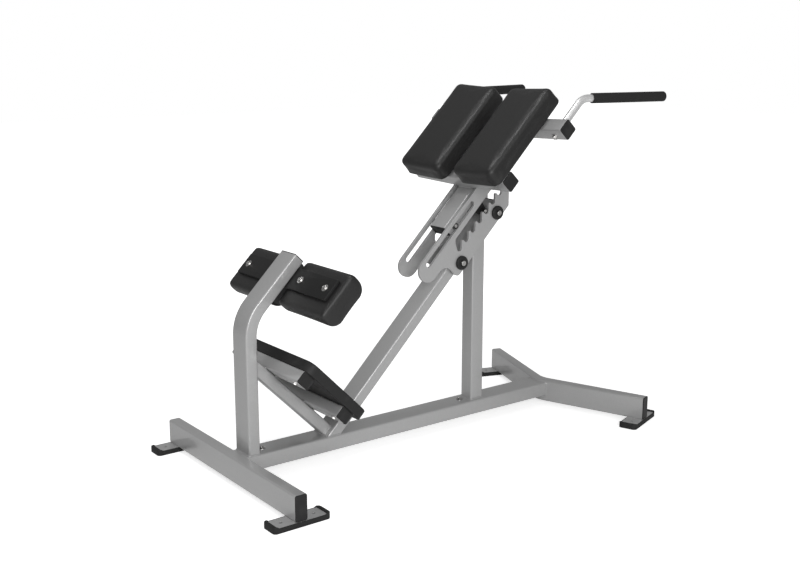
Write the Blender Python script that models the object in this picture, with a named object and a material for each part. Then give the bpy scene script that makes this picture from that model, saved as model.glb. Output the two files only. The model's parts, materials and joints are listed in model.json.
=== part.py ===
"""Hyperextension bench with a notched rack for its hip pads, modelled as separate pieces.

Metres, +Z up. The bench stands on z = 0, +X points to its handle end and the XZ plane is its plane
of symmetry. The origin lies on the floor under the centre of the outline. Most of the bench hangs on
a sloping line, so three empties carry the pieces: "bench" starts at the rear stabiliser's rear face,
"slope" where the diagonal tube's upper face meets the beam, with its X axis up the slope and its
Z axis away from it, and "carriage" at the guide pin, on the slope's direction.
"""

from math import acos, atan2, cos, hypot, pi, radians, sin, tan

import bmesh
import bpy
from mathutils import Matrix, Vector

GAP = 0.0003  # between pieces that touch

# Rectangular tube
TUBE_WALL = 0.003
TUBE_CORNER = 0.006
CAP_THICK = 0.003
CAP_DEPTH = 0.014
CAP_BEVEL = 0.00075

# Base: two stabilisers and the beam between them
STABILISER_DEPTH = 0.040
STABILISER_HEIGHT = 0.080
STABILISER_SPAN = 0.400  # from the plane of symmetry to a rear end, cap included
FRONT_VERTEX_X = 1.319  # where the centrelines of the front stabiliser's two arms cross
FRONT_ARM = 0.4222
FRONT_SWEEP = radians(19.5)
FRONT_BEND_RADIUS = 0.100
BEAM_WIDTH = 0.090
BEAM_HEIGHT = 0.050
BEAM_RISE = 0.0225  # the beam's underside above the stabilisers' underside

# Feet: a steel plate welded under each stabiliser end, in a rubber tray
FOOT_LENGTH = 0.190
FOOT_WIDTH = 0.064
FOOT_CORNER = 0.012
FOOT_OVERHANG = 0.003  # past the stabiliser's end
REAR_FOOT_SHIFT = 0.003
RUBBER_BASE = 0.0095
FOOT_PLATE_THICK = 0.006
RUBBER_RIM = 0.003
LIP_DEPTH = 0.012
LIP_RISE = 0.004
LIP_RAMP = 0.003
FLOOR_BOLT_RADIUS = 0.0055
FLOOR_BOLT_SPREAD = 0.110

# Uprights
REAR_UPRIGHT_X = 0.076
REAR_UPRIGHT_DEPTH = 0.040
REAR_UPRIGHT_WIDTH = 0.084
REAR_BEND_RADIUS = 0.130
FRONT_UPRIGHT_SIDE = 0.055
FRONT_UPRIGHT_AHEAD = 0.1285  # of the guide pin, along X

# The slope
SLOPE_ANGLE = radians(45)
SLOPE_FOOT_X = 0.3432
DIAGONAL_WIDTH = 0.080
DIAGONAL_DEPTH = 0.040
GUIDE_ALONG = 0.8153  # guide pin, up the slope from the diagonal's foot
GUIDE_RISE = 0.088  # guide pin, above the diagonal's upper face
DIAGONAL_PAST_GUIDE = 0.1877

# Foot plate unit
SUPPORT_SIDE = 0.040
CROSSBAR_DEPTH = 0.040
CROSSBAR_WIDTH = 0.050
CROSSBAR_SPAN = 0.200
CROSSBAR_CENTRES = (0.116, 0.309)  # along the support, from the diagonal's upper face
TREAD_THICK = 0.035
TREAD_ENDS = (0.050, 0.333)
TREAD_HALF_WIDTH = 0.205
TREAD_CORNER = 0.030
TREAD_EDGE = 0.006
STUD_RADIUS = 0.005
STUD_HEAD_RADIUS = 0.0085
STUD_HEAD_THICK = 0.006
STUD_Y = 0.160

# Ankle unit
SHANK_OFFSET = 0.488  # the rear upright's sloping centreline above the diagonal's upper face
SHANK_TOP_ALONG = 0.3593
ANKLE_PLATE_ALONG = 0.2978
ANKLE_PLATE_LENGTH = 0.075
ANKLE_PLATE_HALF_WIDTH = 0.257
ANKLE_PLATE_THICK = 0.010
ANKLE_PLATE_CORNER = 0.004
ANKLE_PAD_ALONG = (0.2095, 0.3755)
ANKLE_PAD_THICK = 0.0785
ANKLE_PAD_Y = (0.030, 0.282)
ANKLE_BACK_RADIUS = 0.018
ANKLE_FRONT_RADIUS = 0.039
ANKLE_PAD_EDGE = 0.007
ANKLE_CROWN = 0.0015
ANKLE_BOLT_Y = (0.090, 0.225)
ANKLE_BOLT_RADIUS = 0.005
WASHER_RADIUS = 0.012
WASHER_THICK = 0.002
BOLT_HEAD_RADIUS = 0.0075
BOLT_HEAD_THICK = 0.005

# Side plates
PLATE_GAP = 0.010  # between the diagonal tube's sides and a plate
PLATE_THICK = 0.010
PLATE_TOP = 0.0245  # its upper edge above the guide pin
ARM_PAST_SLOT = 0.0551  # the arm's end, beyond the guide slot's lowest setting
ARM_BOTTOM = -0.055
STEP_PAST_NOTCH = 0.0747  # the step, beyond the lowest notch
STEP_FILLET = 0.035
STEP_CORNER = 0.015
PLATE_BOTTOM = -0.131
PLATE_NOSE_AHEAD = 0.2345  # the vertical edge, ahead of the guide pin along X
PLATE_PAST_NOTCH = 0.0869  # the upper end, beyond the highest notch
PLATE_CORNER = 0.008
SLOT_SPARE = 0.0127  # slot left over above the highest setting
SLOT_CLEARANCE = 0.0005

# Rack: notches that open upwards, one pitch apart up the slope
NOTCH_COUNT = 7
REST_NOTCH = 4  # notches below the one in use
NOTCH_PITCH = 0.0414
NOTCH_WIDTH = 0.022
TOOTH_RADIUS = 0.0045
TOOTH_MEET = radians(25)  # the least angle at which a tooth meets the notch above it
CHANNEL_TOP = -0.0295
CHANNEL_CORNER = 0.006
LIFT = radians(9.3)  # the carriage's tilt that frees the lock pin
LIFT_CLEARANCE = 0.0005

# Pins of the carriage
PIN_RADIUS = 0.006
GUIDE_ROLLER_RADIUS = 0.010
LOCK_ROLLER_RADIUS = 0.009
LOCK_ALONG = 0.1203
LOCK_DROP = 0.0658
ROLLER_INSET = 0.0015  # from the plates' outer faces
PIN_END_RADIUS = 0.0055

# Bolts that clamp the side plates to the diagonal tube
TIE_ALONG = (-0.0747, 0.1474)
TIE_DROP = 0.106
TIE_RADIUS = 0.008
TIE_COLLAR_RADIUS = 0.015
TIE_CAP_RADIUS = 0.024
TIE_CAP_THICK = 0.010
TIE_CAP_ROUND = 0.004
TIE_STUD_RADIUS = 0.009
TIE_STUD_LENGTH = 0.006

# Carriage
CARRIAGE_DEPTH = 0.040
CARRIAGE_TOP = 0.0205
CARRIAGE_ENDS = (-0.0322, 0.423)
SHIM_THICK = 0.0017  # at its middle, where it is thinnest
SHIM_SINK = 0.0005  # into the tube it is welded to
CROSS_SIDE = 0.050
CROSS_TILT = radians(3)  # each half of a cross tube, and the pad on it, rises outwards
LOWER_CROSS_ALONG = 0.168
LOWER_CROSS_REACH = 0.242  # along the tube from the plane of symmetry, cap included
UPPER_CROSS_ALONG = 0.398
UPPER_CROSS_REACH = 0.334
BRACKET_HALF_WIDTH = 0.038
BRACKET_CHEEK = 0.010
BRACKET_WEB = 0.006
BRACKET_HALF_LENGTH = 0.024
BRACKET_NOSE = 0.014  # round the lock pin
BRACKET_EDGE = 0.0015

# Hip pads
HIP_PAD_ALONG = (0.1183, 0.5043)
HIP_PAD_REACH = (0.0380, 0.2475)  # along the cross tubes from the plane of symmetry
HIP_PAD_THICK = 0.0698
HIP_PAD_EDGE = 0.020
HIP_PAD_CORNER = 0.024
HIP_PAD_DRAW = 0.004
HIP_PAD_CROWN = 0.003

# Handles
HANDLE_RADIUS = 0.0127
HANDLE_WALL = 0.002
HANDLE_Y = 0.283
HANDLE_RISE = 0.053  # above the guide pin
HANDLE_BEND_ALONG = 0.5425
HANDLE_BEND_RADIUS = 0.055
HANDLE_SPLAY = radians(12.1)
HANDLE_REACH = 0.327
GRIP_START = 0.038
GRIP_LENGTH = 0.296
GRIP_RADIUS = 0.017
GRIP_END = 0.006
GRIP_EDGE = 0.001
HANDLE_BOLT_RADIUS = 0.005

# How many straight steps each kind of round stretch has
CORNER_STEPS = 2
BEND_STEPS = 6
ROUND_STEPS = 16
ROLLER_STEPS = 20
CAP_STEPS = 24
COPE_STEPS = 96
PLATE_STEPS = 8
SLOT_STEPS = 10
NOTCH_STEPS = 9
TOOTH_STEPS = 5
CHANNEL_STEPS = 4
TREAD_STEPS = 6
ANKLE_SECTION_STEPS = 5
ANKLE_CROWN_STEPS = 10
ANKLE_EDGE_STEPS = 3
HIP_CORNER_STEPS = 5
HIP_SIDE_STEPS = 4
HIP_EDGE_STEPS = 5
HIP_CROWN_STEPS = 4
HIP_FLAT_SHARE = 0.2  # of one crown step, left flat along the pad's middle

STABILISER_UNDER = RUBBER_BASE + GAP + FOOT_PLATE_THICK
STABILISER_MID = STABILISER_UNDER + STABILISER_HEIGHT / 2
BEAM_TOP = STABILISER_UNDER + BEAM_RISE + BEAM_HEIGHT
PLATE_INNER = DIAGONAL_WIDTH / 2 + PLATE_GAP
PLATE_OUTER = PLATE_INNER + PLATE_THICK
CROSS_MID = CARRIAGE_TOP + SHIM_THICK + GAP + CROSS_SIDE / 2 / cos(CROSS_TILT)
CROSSBAR_BASE = GAP + SUPPORT_SIDE + GAP
TREAD_BASE = CROSSBAR_BASE + CROSSBAR_DEPTH + GAP
ANKLE_PLATE_TOP = SHANK_OFFSET - REAR_UPRIGHT_DEPTH / 2 - GAP


def finish(name, colour, roughness, metallic):
    """A painted, plated or moulded surface."""
    made = bpy.data.materials.new(name)
    made.use_nodes = True
    shader = made.node_tree.nodes["Principled BSDF"]
    shader.inputs["Base Color"].default_value = (*colour, 1)
    shader.inputs["Roughness"].default_value = roughness
    shader.inputs["Metallic"].default_value = metallic
    return made


def empty(name, place, parent=None):
    """A named place that carries pieces."""
    made = bpy.data.objects.new(name, None)
    bpy.context.scene.collection.objects.link(made)
    made.parent = parent
    made.matrix_local = place
    return made


def shifted(x=0.0, y=0.0, z=0.0):
    return Matrix.Translation((x, y, z))


def facing(at, ahead, across):
    """A place at a point, with +Z ahead and +X across."""
    ahead = Vector(ahead).normalized()
    across = Vector(across)
    across = (across - across.dot(ahead) * ahead).normalized()
    turned_to = Matrix((across, ahead.cross(across), ahead)).transposed()
    return Matrix.Translation(at) @ turned_to.to_4x4()


def solid(name, shape, surface, parent, place=None):
    """An object from points and faces, smooth except at its edges."""
    points, faces = shape
    mesh = bpy.data.meshes.new(name)
    mesh.from_pydata([tuple(p) for p in points], [], faces)
    shell = bmesh.new()
    shell.from_mesh(mesh)
    bmesh.ops.recalc_face_normals(shell, faces=shell.faces)
    shell.to_mesh(mesh)
    shell.free()
    mesh.shade_smooth()
    mesh.set_sharp_from_angle(angle=radians(35))
    mesh.materials.append(surface)
    made = bpy.data.objects.new(name, mesh)
    bpy.context.scene.collection.objects.link(made)
    made.parent = parent
    made.matrix_local = place or Matrix.Identity(4)
    return made


def loft(rings, closed=False):
    """Faces between rings of equal size; closed joins the last ring to the first, and otherwise both
    are capped."""
    size = len(rings[0])
    count = len(rings)
    points = [point for ring in rings for point in ring]
    faces = []
    for i in range(count if closed else count - 1):
        low = i * size
        high = (i + 1) % count * size
        for j in range(size):
            k = (j + 1) % size
            faces.append((low + j, low + k, high + k, high + j))
    if not closed:
        faces.append(tuple(reversed(range(size))))
        faces.append(tuple(range((count - 1) * size, count * size)))
    return points, faces


def arc(centre, radius, start, stop, steps):
    """Points of an arc from one angle to another."""
    points = []
    for i in range(steps + 1):
        angle = start + (stop - start) * i / steps
        points.append((centre[0] + radius * cos(angle), centre[1] + radius * sin(angle)))
    return points


def circle(radius, steps):
    return arc((0, 0), radius, 0, 2 * pi * (steps - 1) / steps, steps - 1)


def rounded_rectangle(sides, radius, steps=CORNER_STEPS):
    """A rectangle with round corners about the origin, anticlockwise."""
    points = []
    for quarter, (sx, sy) in enumerate(((1, 1), (-1, 1), (-1, -1), (1, -1))):
        centre = (sx * (sides[0] / 2 - radius), sy * (sides[1] / 2 - radius))
        points += arc(centre, radius, quarter * pi / 2, (quarter + 1) * pi / 2, steps)
    return points


def round_corner(before, corner, after, radius, steps):
    """Points of the arc that rounds one corner of an outline."""
    back = Vector(before) - Vector(corner)
    ahead = Vector(after) - Vector(corner)
    half = acos(back.normalized().dot(ahead.normalized())) / 2
    middle = (back.normalized() + ahead.normalized()).normalized()
    centre = Vector(corner) + middle * radius / sin(half)
    first = Vector(corner) + back.normalized() * radius / tan(half) - centre
    last = Vector(corner) + ahead.normalized() * radius / tan(half) - centre
    start = atan2(first.y, first.x)
    turn = (atan2(last.y, last.x) - start + pi) % (2 * pi) - pi
    return arc(centre, radius, start, start + turn, steps)


def rounded_outline(corners, steps=5):
    """An outline from corners given as (x, y, radius)."""
    points = []
    for i, (x, y, radius) in enumerate(corners):
        before = corners[i - 1][:2]
        after = corners[(i + 1) % len(corners)][:2]
        points += round_corner(before, (x, y), after, radius, steps)
    return points


def inset_sides(sides, amount):
    return (sides[0] - 2 * amount, sides[1] - 2 * amount)


def turned_shape(profile, steps=ROUND_STEPS, closed=False):
    """A round shape about Z from (radius, height) pairs."""
    rings = [[(x, y, height) for x, y in circle(radius, steps)] for radius, height in profile]
    return loft(rings, closed)


def on_axis(axis, run, a, b):
    """A point of a straight tube: run along its axis, a and b across it."""
    return {"X": (run, b, a), "Y": (a, run, b), "Z": (a, b, run)}[axis]


def straight_tube(name, axis, sides, centre, ends, parent, slopes=(0.0, 0.0)):
    """A rectangular tube along an axis. A slope tilts an end plane along the first side."""
    outer = rounded_rectangle(sides, TUBE_CORNER)
    bore = rounded_rectangle(inset_sides(sides, TUBE_WALL), TUBE_CORNER - TUBE_WALL)
    rings = []
    for section, end in ((outer, 0), (outer, 1), (bore, 1), (bore, 0)):
        rings.append([
            on_axis(axis, ends[end] + slopes[end] * a, centre[0] + a, centre[1] + b)
            for a, b in section
        ])
    return solid(name, loft(rings, closed=True), STEEL, parent)


def bent_path(start, lead, radius, turn, side, tail, steps=BEND_STEPS):
    """Frames along a path, +Z ahead: straight, one bend towards side, straight again."""
    towards = Vector(side)
    axis = Vector((0, 0, 1)).cross(towards)
    bend = start @ shifted(z=lead)
    frames = [start]
    for i in range(steps + 1):
        about = Matrix.Rotation(turn * i / steps, 4, axis)
        pivot = Matrix.Translation(towards * radius)
        frames.append(bend @ pivot @ about @ pivot.inverted())
    frames.append(frames[-1] @ shifted(z=tail))
    return frames


def swept_tube(name, frames, outer, bore, surface, parent):
    """A hollow tube that follows frames."""
    rings = [[frame @ Vector((x, y, 0)) for x, y in outer] for frame in frames]
    rings += [[frame @ Vector((x, y, 0)) for x, y in bore] for frame in reversed(frames)]
    return solid(name, loft(rings, closed=True), surface, parent)


def tube_cap(name, sides, place, parent):
    """A plastic cap on a tube's end at place, with a plug in its bore."""
    plug = rounded_rectangle(inset_sides(sides, TUBE_WALL + GAP), TUBE_CORNER - TUBE_WALL)
    rim = rounded_rectangle(inset_sides(sides, GAP), TUBE_CORNER)
    face = rounded_rectangle(inset_sides(sides, GAP + CAP_BEVEL), TUBE_CORNER)
    rings = []
    for section, height in (
        (plug, -CAP_DEPTH),
        (plug, GAP),
        (rim, GAP),
        (rim, GAP + CAP_THICK - CAP_BEVEL),
        (face, GAP + CAP_THICK),
    ):
        rings.append([(x, y, height) for x, y in section])
    return solid(name, loft(rings), PLASTIC, parent, place)


def boolean(target, tool, operation):
    """Cuts a tool from a target, or joins it on."""
    tool.hide_render = True
    tool.display_type = "WIRE"
    change = target.modifiers.new(tool.name, "BOOLEAN")
    change.operation = operation
    change.object = tool


def drill(target, radius, place, length, parent):
    """A round hole along the place's Z axis, centred on it."""
    profile = [(radius, -length / 2), (radius, length / 2)]
    tool = solid(f"{target.name}_drill", turned_shape(profile), STEEL, parent, place)
    boolean(target, tool, "DIFFERENCE")


def flat_piece(name, outlines, thickness, surface, parent, place):
    """A plate from outlines in its XY plane: the first is its edge, the others are its holes."""
    drawing = bpy.data.curves.new(name, "CURVE")
    drawing.dimensions = "2D"
    drawing.fill_mode = "BOTH"
    drawing.extrude = thickness / 2
    for outline in outlines:
        line = drawing.splines.new("POLY")
        line.points.add(len(outline) - 1)
        for point, (x, y) in zip(line.points, outline):
            point.co = (x, y, 0, 1)
        line.use_cyclic_u = True
    drawing.materials.append(surface)
    made = bpy.data.objects.new(name, drawing)
    bpy.context.scene.collection.objects.link(made)
    made.parent = parent
    made.matrix_local = place
    return made


def slope_frame(x, z):
    """The place on the slope's direction whose origin is at x, z of the bench."""
    return shifted(x, 0, z) @ Matrix.Rotation(-SLOPE_ANGLE, 4, "Y")


def along_rail(x, z):
    """A point given level and upright from the guide pin, as distances along and off the slope."""
    return (
        x * cos(SLOPE_ANGLE) + z * sin(SLOPE_ANGLE),
        z * cos(SLOPE_ANGLE) - x * sin(SLOPE_ANGLE),
    )


def from_rail(along, off):
    """The reverse: distances along and off the slope, as level and upright ones."""
    return (
        along * cos(SLOPE_ANGLE) - off * sin(SLOPE_ANGLE),
        along * sin(SLOPE_ANGLE) + off * cos(SLOPE_ANGLE),
    )


def front_foot_centre(side):
    """Where a front foot's centre is, and the unit vectors along the foot and along the arm."""
    arm = Vector((sin(FRONT_SWEEP), side * cos(FRONT_SWEEP), 0))
    along = Vector((cos(FRONT_SWEEP), -side * sin(FRONT_SWEEP), 0))
    reach = FRONT_ARM + FOOT_OVERHANG - FOOT_WIDTH / 2
    return Vector((FRONT_VERTEX_X, 0, 0)) + arm * reach, along, arm


def outline_middle():
    """The middle of the bench's length, from its rear face."""
    rear = STABILISER_DEPTH / 2 + REAR_FOOT_SHIFT - FOOT_LENGTH / 2
    centre, along, arm = front_foot_centre(1)
    foot = rounded_rectangle((FOOT_LENGTH, FOOT_WIDTH), FOOT_CORNER)
    front = centre.x + max(x * along.x + y * arm.x for x, y in foot)
    return (rear + front) / 2


def tray_ring(sides, corner, ramp_at):
    """A tray's outline, with points on its long sides where the raised ends begin."""
    ring = rounded_rectangle(sides, corner)
    quarter = CORNER_STEPS + 1
    upper = [(ramp_at, sides[1] / 2), (-ramp_at, sides[1] / 2)]
    lower = [(-ramp_at, -sides[1] / 2), (ramp_at, -sides[1] / 2)]
    return ring[:quarter] + upper + ring[quarter : 3 * quarter] + lower + ring[3 * quarter :]


def foot_rubber(name, place, parent):
    """A rubber tray round the foot's steel plate, with raised ends."""
    rim = STABILISER_UNDER
    flat_to = FOOT_LENGTH / 2 - FOOT_CORNER - LIP_RAMP
    outer = tray_ring((FOOT_LENGTH, FOOT_WIDTH), FOOT_CORNER, flat_to)
    pocket_sides = (FOOT_LENGTH - 2 * LIP_DEPTH, FOOT_WIDTH - 2 * RUBBER_RIM)
    ramp_at = pocket_sides[0] / 2 - RUBBER_RIM - LIP_RAMP
    pocket = tray_ring(pocket_sides, RUBBER_RIM, ramp_at)
    raised = [abs(x) > ramp_at + LIP_RAMP / 2 for x, _ in pocket]
    tops = [rim + LIP_RISE if up else rim for up in raised]
    rings = [
        [(x, y, RUBBER_BASE) for x, y in pocket],
        [(x, y, top) for (x, y), top in zip(pocket, tops)],
        [(x, y, top) for (x, y), top in zip(outer, tops)],
        [(x, y, 0) for x, y in outer],
    ]
    return solid(name, loft(rings), RUBBER, parent, place)


def weld_foot_plate(stabiliser, place, parent):
    """A steel plate under a stabiliser's end, with two holes for floor bolts."""
    sides = (FOOT_LENGTH - 2 * LIP_DEPTH - 2 * GAP, FOOT_WIDTH - 2 * RUBBER_RIM - 2 * GAP)
    section = rounded_rectangle(sides, RUBBER_RIM)
    low = RUBBER_BASE + GAP
    rings = [[(x, y, z) for x, y in section] for z in (low, STABILISER_UNDER)]
    plate = solid(f"{stabiliser.name}_plate", loft(rings), STEEL, parent, place)
    boolean(stabiliser, plate, "UNION")
    for side in (-1, 1):
        hole = place @ shifted(side * FLOOR_BOLT_SPREAD / 2, 0, low)
        drill(stabiliser, FLOOR_BOLT_RADIUS, hole, 4 * FOOT_PLATE_THICK, parent)


def rear_stabiliser(bench):
    end = STABILISER_SPAN - CAP_THICK - GAP
    sides = (STABILISER_DEPTH, STABILISER_HEIGHT)
    mid_x = STABILISER_DEPTH / 2
    tube = straight_tube("rear_stabiliser", "Y", sides, (mid_x, STABILISER_MID), (-end, end), bench)
    foot_y = STABILISER_SPAN + FOOT_OVERHANG - FOOT_WIDTH / 2
    for side, hand in ((1, "left"), (-1, "right")):
        foot = shifted(mid_x + REAR_FOOT_SHIFT, side * foot_y)
        weld_foot_plate(tube, foot, bench)
        foot_rubber(f"rear_foot_rubber_{hand}", foot, bench)
        face = facing((mid_x, side * end, STABILISER_MID), (0, side, 0), (1, 0, 0))
        tube_cap(f"rear_stabiliser_cap_{hand}", sides, face, bench)


def front_stabiliser(bench):
    """Two swept arms bent from one tube."""
    sides = (STABILISER_DEPTH, STABILISER_HEIGHT)
    length = FRONT_ARM - CAP_THICK - GAP
    tangent = FRONT_BEND_RADIUS * tan(FRONT_SWEEP)
    heading = (-sin(FRONT_SWEEP), cos(FRONT_SWEEP), 0)
    first = Vector((FRONT_VERTEX_X, 0, STABILISER_MID)) - Vector(heading) * length
    start = facing(first, heading, (cos(FRONT_SWEEP), sin(FRONT_SWEEP), 0))
    straight = length - tangent
    frames = bent_path(start, straight, FRONT_BEND_RADIUS, 2 * FRONT_SWEEP, (1, 0, 0), straight)
    outer = rounded_rectangle(sides, TUBE_CORNER)
    bore = rounded_rectangle(inset_sides(sides, TUBE_WALL), TUBE_CORNER - TUBE_WALL)
    tube = swept_tube("front_stabiliser", frames, outer, bore, STEEL, bench)
    for side, hand in ((1, "left"), (-1, "right")):
        centre, along, arm = front_foot_centre(side)
        foot = facing(centre, (0, 0, 1), along)
        weld_foot_plate(tube, foot, bench)
        foot_rubber(f"front_foot_rubber_{hand}", foot, bench)
        end = Vector((FRONT_VERTEX_X, 0, STABILISER_MID)) + arm * length
        tube_cap(f"front_stabiliser_cap_{hand}", sides, facing(end, arm, along), bench)


def main_beam(bench):
    """The beam, coped to fit round the front stabiliser's bend."""
    apex = FRONT_VERTEX_X + FRONT_BEND_RADIUS * (1 / cos(FRONT_SWEEP) - 1)
    middle = apex + FRONT_BEND_RADIUS
    wall = FRONT_BEND_RADIUS + STABILISER_DEPTH / 2 + GAP
    ends = (STABILISER_DEPTH + GAP, apex)
    centre = (BEAM_TOP - BEAM_HEIGHT / 2, 0)
    beam = straight_tube("main_beam", "X", (BEAM_HEIGHT, BEAM_WIDTH), centre, ends, bench)
    profile = [(wall, 0), (wall, 2 * BEAM_TOP)]
    cope = solid("main_beam_cope", turned_shape(profile, COPE_STEPS), STEEL, bench, shifted(middle))
    boolean(beam, cope, "DIFFERENCE")


def rear_upright(bench):
    """Upright from the beam that bends over the slope and carries the ankle pads."""
    sides = (REAR_UPRIGHT_DEPTH, REAR_UPRIGHT_WIDTH)
    turn = pi / 2 - SLOPE_ANGLE
    off = SHANK_OFFSET
    corner_along = ((REAR_UPRIGHT_X - SLOPE_FOOT_X) + off * sin(SLOPE_ANGLE)) / cos(SLOPE_ANGLE)
    corner_z = BEAM_TOP + from_rail(corner_along, off)[1]
    tangent = REAR_BEND_RADIUS * tan(turn / 2)
    foot = shifted(REAR_UPRIGHT_X, 0, BEAM_TOP + GAP)
    rise = corner_z - tangent - BEAM_TOP - GAP
    reach = SHANK_TOP_ALONG - corner_along - tangent - CAP_THICK - GAP
    frames = bent_path(foot, rise, REAR_BEND_RADIUS, turn, (1, 0, 0), reach)
    outer = rounded_rectangle(sides, TUBE_CORNER)
    bore = rounded_rectangle(inset_sides(sides, TUBE_WALL), TUBE_CORNER - TUBE_WALL)
    swept_tube("rear_upright", frames, outer, bore, STEEL, bench)
    tube_cap("rear_upright_cap", sides, frames[-1], bench)


def front_upright(bench):
    """Upright under the diagonal tube, cut to its slope."""
    guide_x, guide_z = from_rail(GUIDE_ALONG, GUIDE_RISE)
    x = SLOPE_FOOT_X + guide_x + FRONT_UPRIGHT_AHEAD
    under = (DIAGONAL_DEPTH + GAP) / cos(SLOPE_ANGLE)
    top = BEAM_TOP + (x - SLOPE_FOOT_X) * tan(SLOPE_ANGLE) - under
    sides = (FRONT_UPRIGHT_SIDE, FRONT_UPRIGHT_SIDE)
    ends = (BEAM_TOP + GAP, top)
    straight_tube("front_upright", "Z", sides, (x, 0), ends, bench, (0.0, tan(SLOPE_ANGLE)))


def diagonal_tube(slope, guide):
    """Sloping tube from the beam to the side plates, drilled for the two tie bolts."""
    sides = (DIAGONAL_DEPTH, DIAGONAL_WIDTH)
    mid = -DIAGONAL_DEPTH / 2
    foot = (GAP / cos(SLOPE_ANGLE) - mid) / tan(SLOPE_ANGLE)
    top = GUIDE_ALONG + DIAGONAL_PAST_GUIDE - CAP_THICK - GAP
    slopes = (-1 / tan(SLOPE_ANGLE), 0.0)
    tube = straight_tube("diagonal_tube", "X", sides, (mid, 0), (foot, top), slope, slopes)
    for along in TIE_ALONG:
        hole = facing((along, 0, -TIE_DROP), (0, 1, 0), (1, 0, 0))
        drill(tube, TIE_RADIUS + GAP, hole, 2 * DIAGONAL_WIDTH, guide)
    tube_cap("diagonal_tube_cap", sides, facing((top, 0, mid), (1, 0, 0), (0, 0, 1)), slope)


def foot_support(slope):
    """Short tube from the rear upright down to the diagonal tube's foot."""
    mid = GAP + SUPPORT_SIDE / 2
    front = REAR_UPRIGHT_X + REAR_UPRIGHT_DEPTH / 2 + GAP
    top = (mid * cos(SLOPE_ANGLE) - (front - SLOPE_FOOT_X)) / sin(SLOPE_ANGLE)
    sides = (SUPPORT_SIDE, SUPPORT_SIDE)
    slopes = (0.0, 1 / tan(SLOPE_ANGLE))
    straight_tube("foot_support", "Z", sides, (mid, 0), (GAP, top), slope, slopes)


def crossbars(slope):
    """Two bars across the support, which the foot plate is bolted to."""
    sides = (CROSSBAR_DEPTH, CROSSBAR_WIDTH)
    mid = CROSSBAR_BASE + CROSSBAR_DEPTH / 2
    end = CROSSBAR_SPAN - CAP_THICK - GAP
    for level, off in zip(("lower", "upper"), CROSSBAR_CENTRES):
        bar = straight_tube(f"crossbar_{level}", "Y", sides, (mid, off), (-end, end), slope)
        for side, hand in ((1, "left"), (-1, "right")):
            hole = facing((mid, side * STUD_Y, off), (1, 0, 0), (0, 1, 0))
            drill(bar, STUD_RADIUS + GAP, hole, 2 * CROSSBAR_DEPTH, slope)
            face = facing((mid, side * end, off), (0, side, 0), (1, 0, 0))
            tube_cap(f"crossbar_{level}_cap_{hand}", sides, face, slope)


def foot_plate(slope):
    """Thick tread with four studs through the crossbars."""
    length = TREAD_ENDS[1] - TREAD_ENDS[0]
    middle = (TREAD_ENDS[0] + TREAD_ENDS[1]) / 2
    rings = []
    for inset, height in (
        (TREAD_EDGE / 3, 0),
        (0, TREAD_EDGE / 3),
        (0, TREAD_THICK - TREAD_EDGE),
        (TREAD_EDGE / 3, TREAD_THICK - TREAD_EDGE / 3),
        (TREAD_EDGE, TREAD_THICK),
    ):
        sides = inset_sides((length, 2 * TREAD_HALF_WIDTH), inset)
        section = rounded_rectangle(sides, TREAD_CORNER - inset, TREAD_STEPS)
        rings.append([(x, y, height) for x, y in section])
    place = facing((TREAD_BASE, 0, middle), (1, 0, 0), (0, 0, -1))
    tread = solid("foot_plate", loft(rings), RUBBER, slope, place)
    head = -CROSSBAR_DEPTH - 2 * GAP
    profile = [
        (STUD_HEAD_RADIUS, head - STUD_HEAD_THICK),
        (STUD_HEAD_RADIUS, head),
        (STUD_RADIUS, head),
        (STUD_RADIUS, TREAD_EDGE),
    ]
    for off in CROSSBAR_CENTRES:
        for side in (-1, 1):
            at = facing((TREAD_BASE, side * STUD_Y, off), (1, 0, 0), (0, 1, 0))
            stud = solid("foot_plate_stud", turned_shape(profile), CHROME, slope, at)
            boolean(tread, stud, "UNION")


def ankle_plate(slope):
    """Mounting plate under the rear upright's sloping end, with four bolts through it."""
    mid = ANKLE_PLATE_TOP - ANKLE_PLATE_THICK / 2
    half = ANKLE_PLATE_LENGTH / 2
    edge = rounded_outline([
        (sx * half, sy * ANKLE_PLATE_HALF_WIDTH, ANKLE_PLATE_CORNER)
        for sx, sy in ((1, 1), (-1, 1), (-1, -1), (1, -1))
    ])
    holes = []
    for y in ANKLE_BOLT_Y:
        for side in (-1, 1):
            ring = circle(ANKLE_BOLT_RADIUS + GAP, ROUND_STEPS)
            holes.append([(px, py + side * y) for px, py in ring])
    place = shifted(ANKLE_PLATE_ALONG, 0, mid)
    flat_piece("ankle_plate", [edge, *holes], ANKLE_PLATE_THICK, BLACK_STEEL, slope, place)
    profile = [
        (ANKLE_BOLT_RADIUS, -ANKLE_PLATE_THICK),
        (ANKLE_BOLT_RADIUS, GAP),
        (WASHER_RADIUS, GAP),
        (WASHER_RADIUS, GAP + WASHER_THICK),
        (BOLT_HEAD_RADIUS, GAP + WASHER_THICK),
        (BOLT_HEAD_RADIUS, GAP + WASHER_THICK + BOLT_HEAD_THICK),
    ]
    for place_name, y in zip(("inner", "outer"), ANKLE_BOLT_Y):
        for side, hand in ((1, "left"), (-1, "right")):
            at = shifted(ANKLE_PLATE_ALONG, side * y, ANKLE_PLATE_TOP)
            solid(f"ankle_bolt_{place_name}_{hand}", turned_shape(profile), CHROME, slope, at)


def ankle_section(length, thick, inset):
    """Outline of an ankle pad seen from its end: a flat back and a well rounded front."""
    x = length / 2 - inset
    back = -inset
    front = inset - thick
    return rounded_outline([
        (-x, front, ANKLE_FRONT_RADIUS - inset),
        (x, front, ANKLE_FRONT_RADIUS - inset),
        (x, back, ANKLE_BACK_RADIUS - inset),
        (-x, back, ANKLE_BACK_RADIUS - inset),
    ], ANKLE_SECTION_STEPS)


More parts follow.
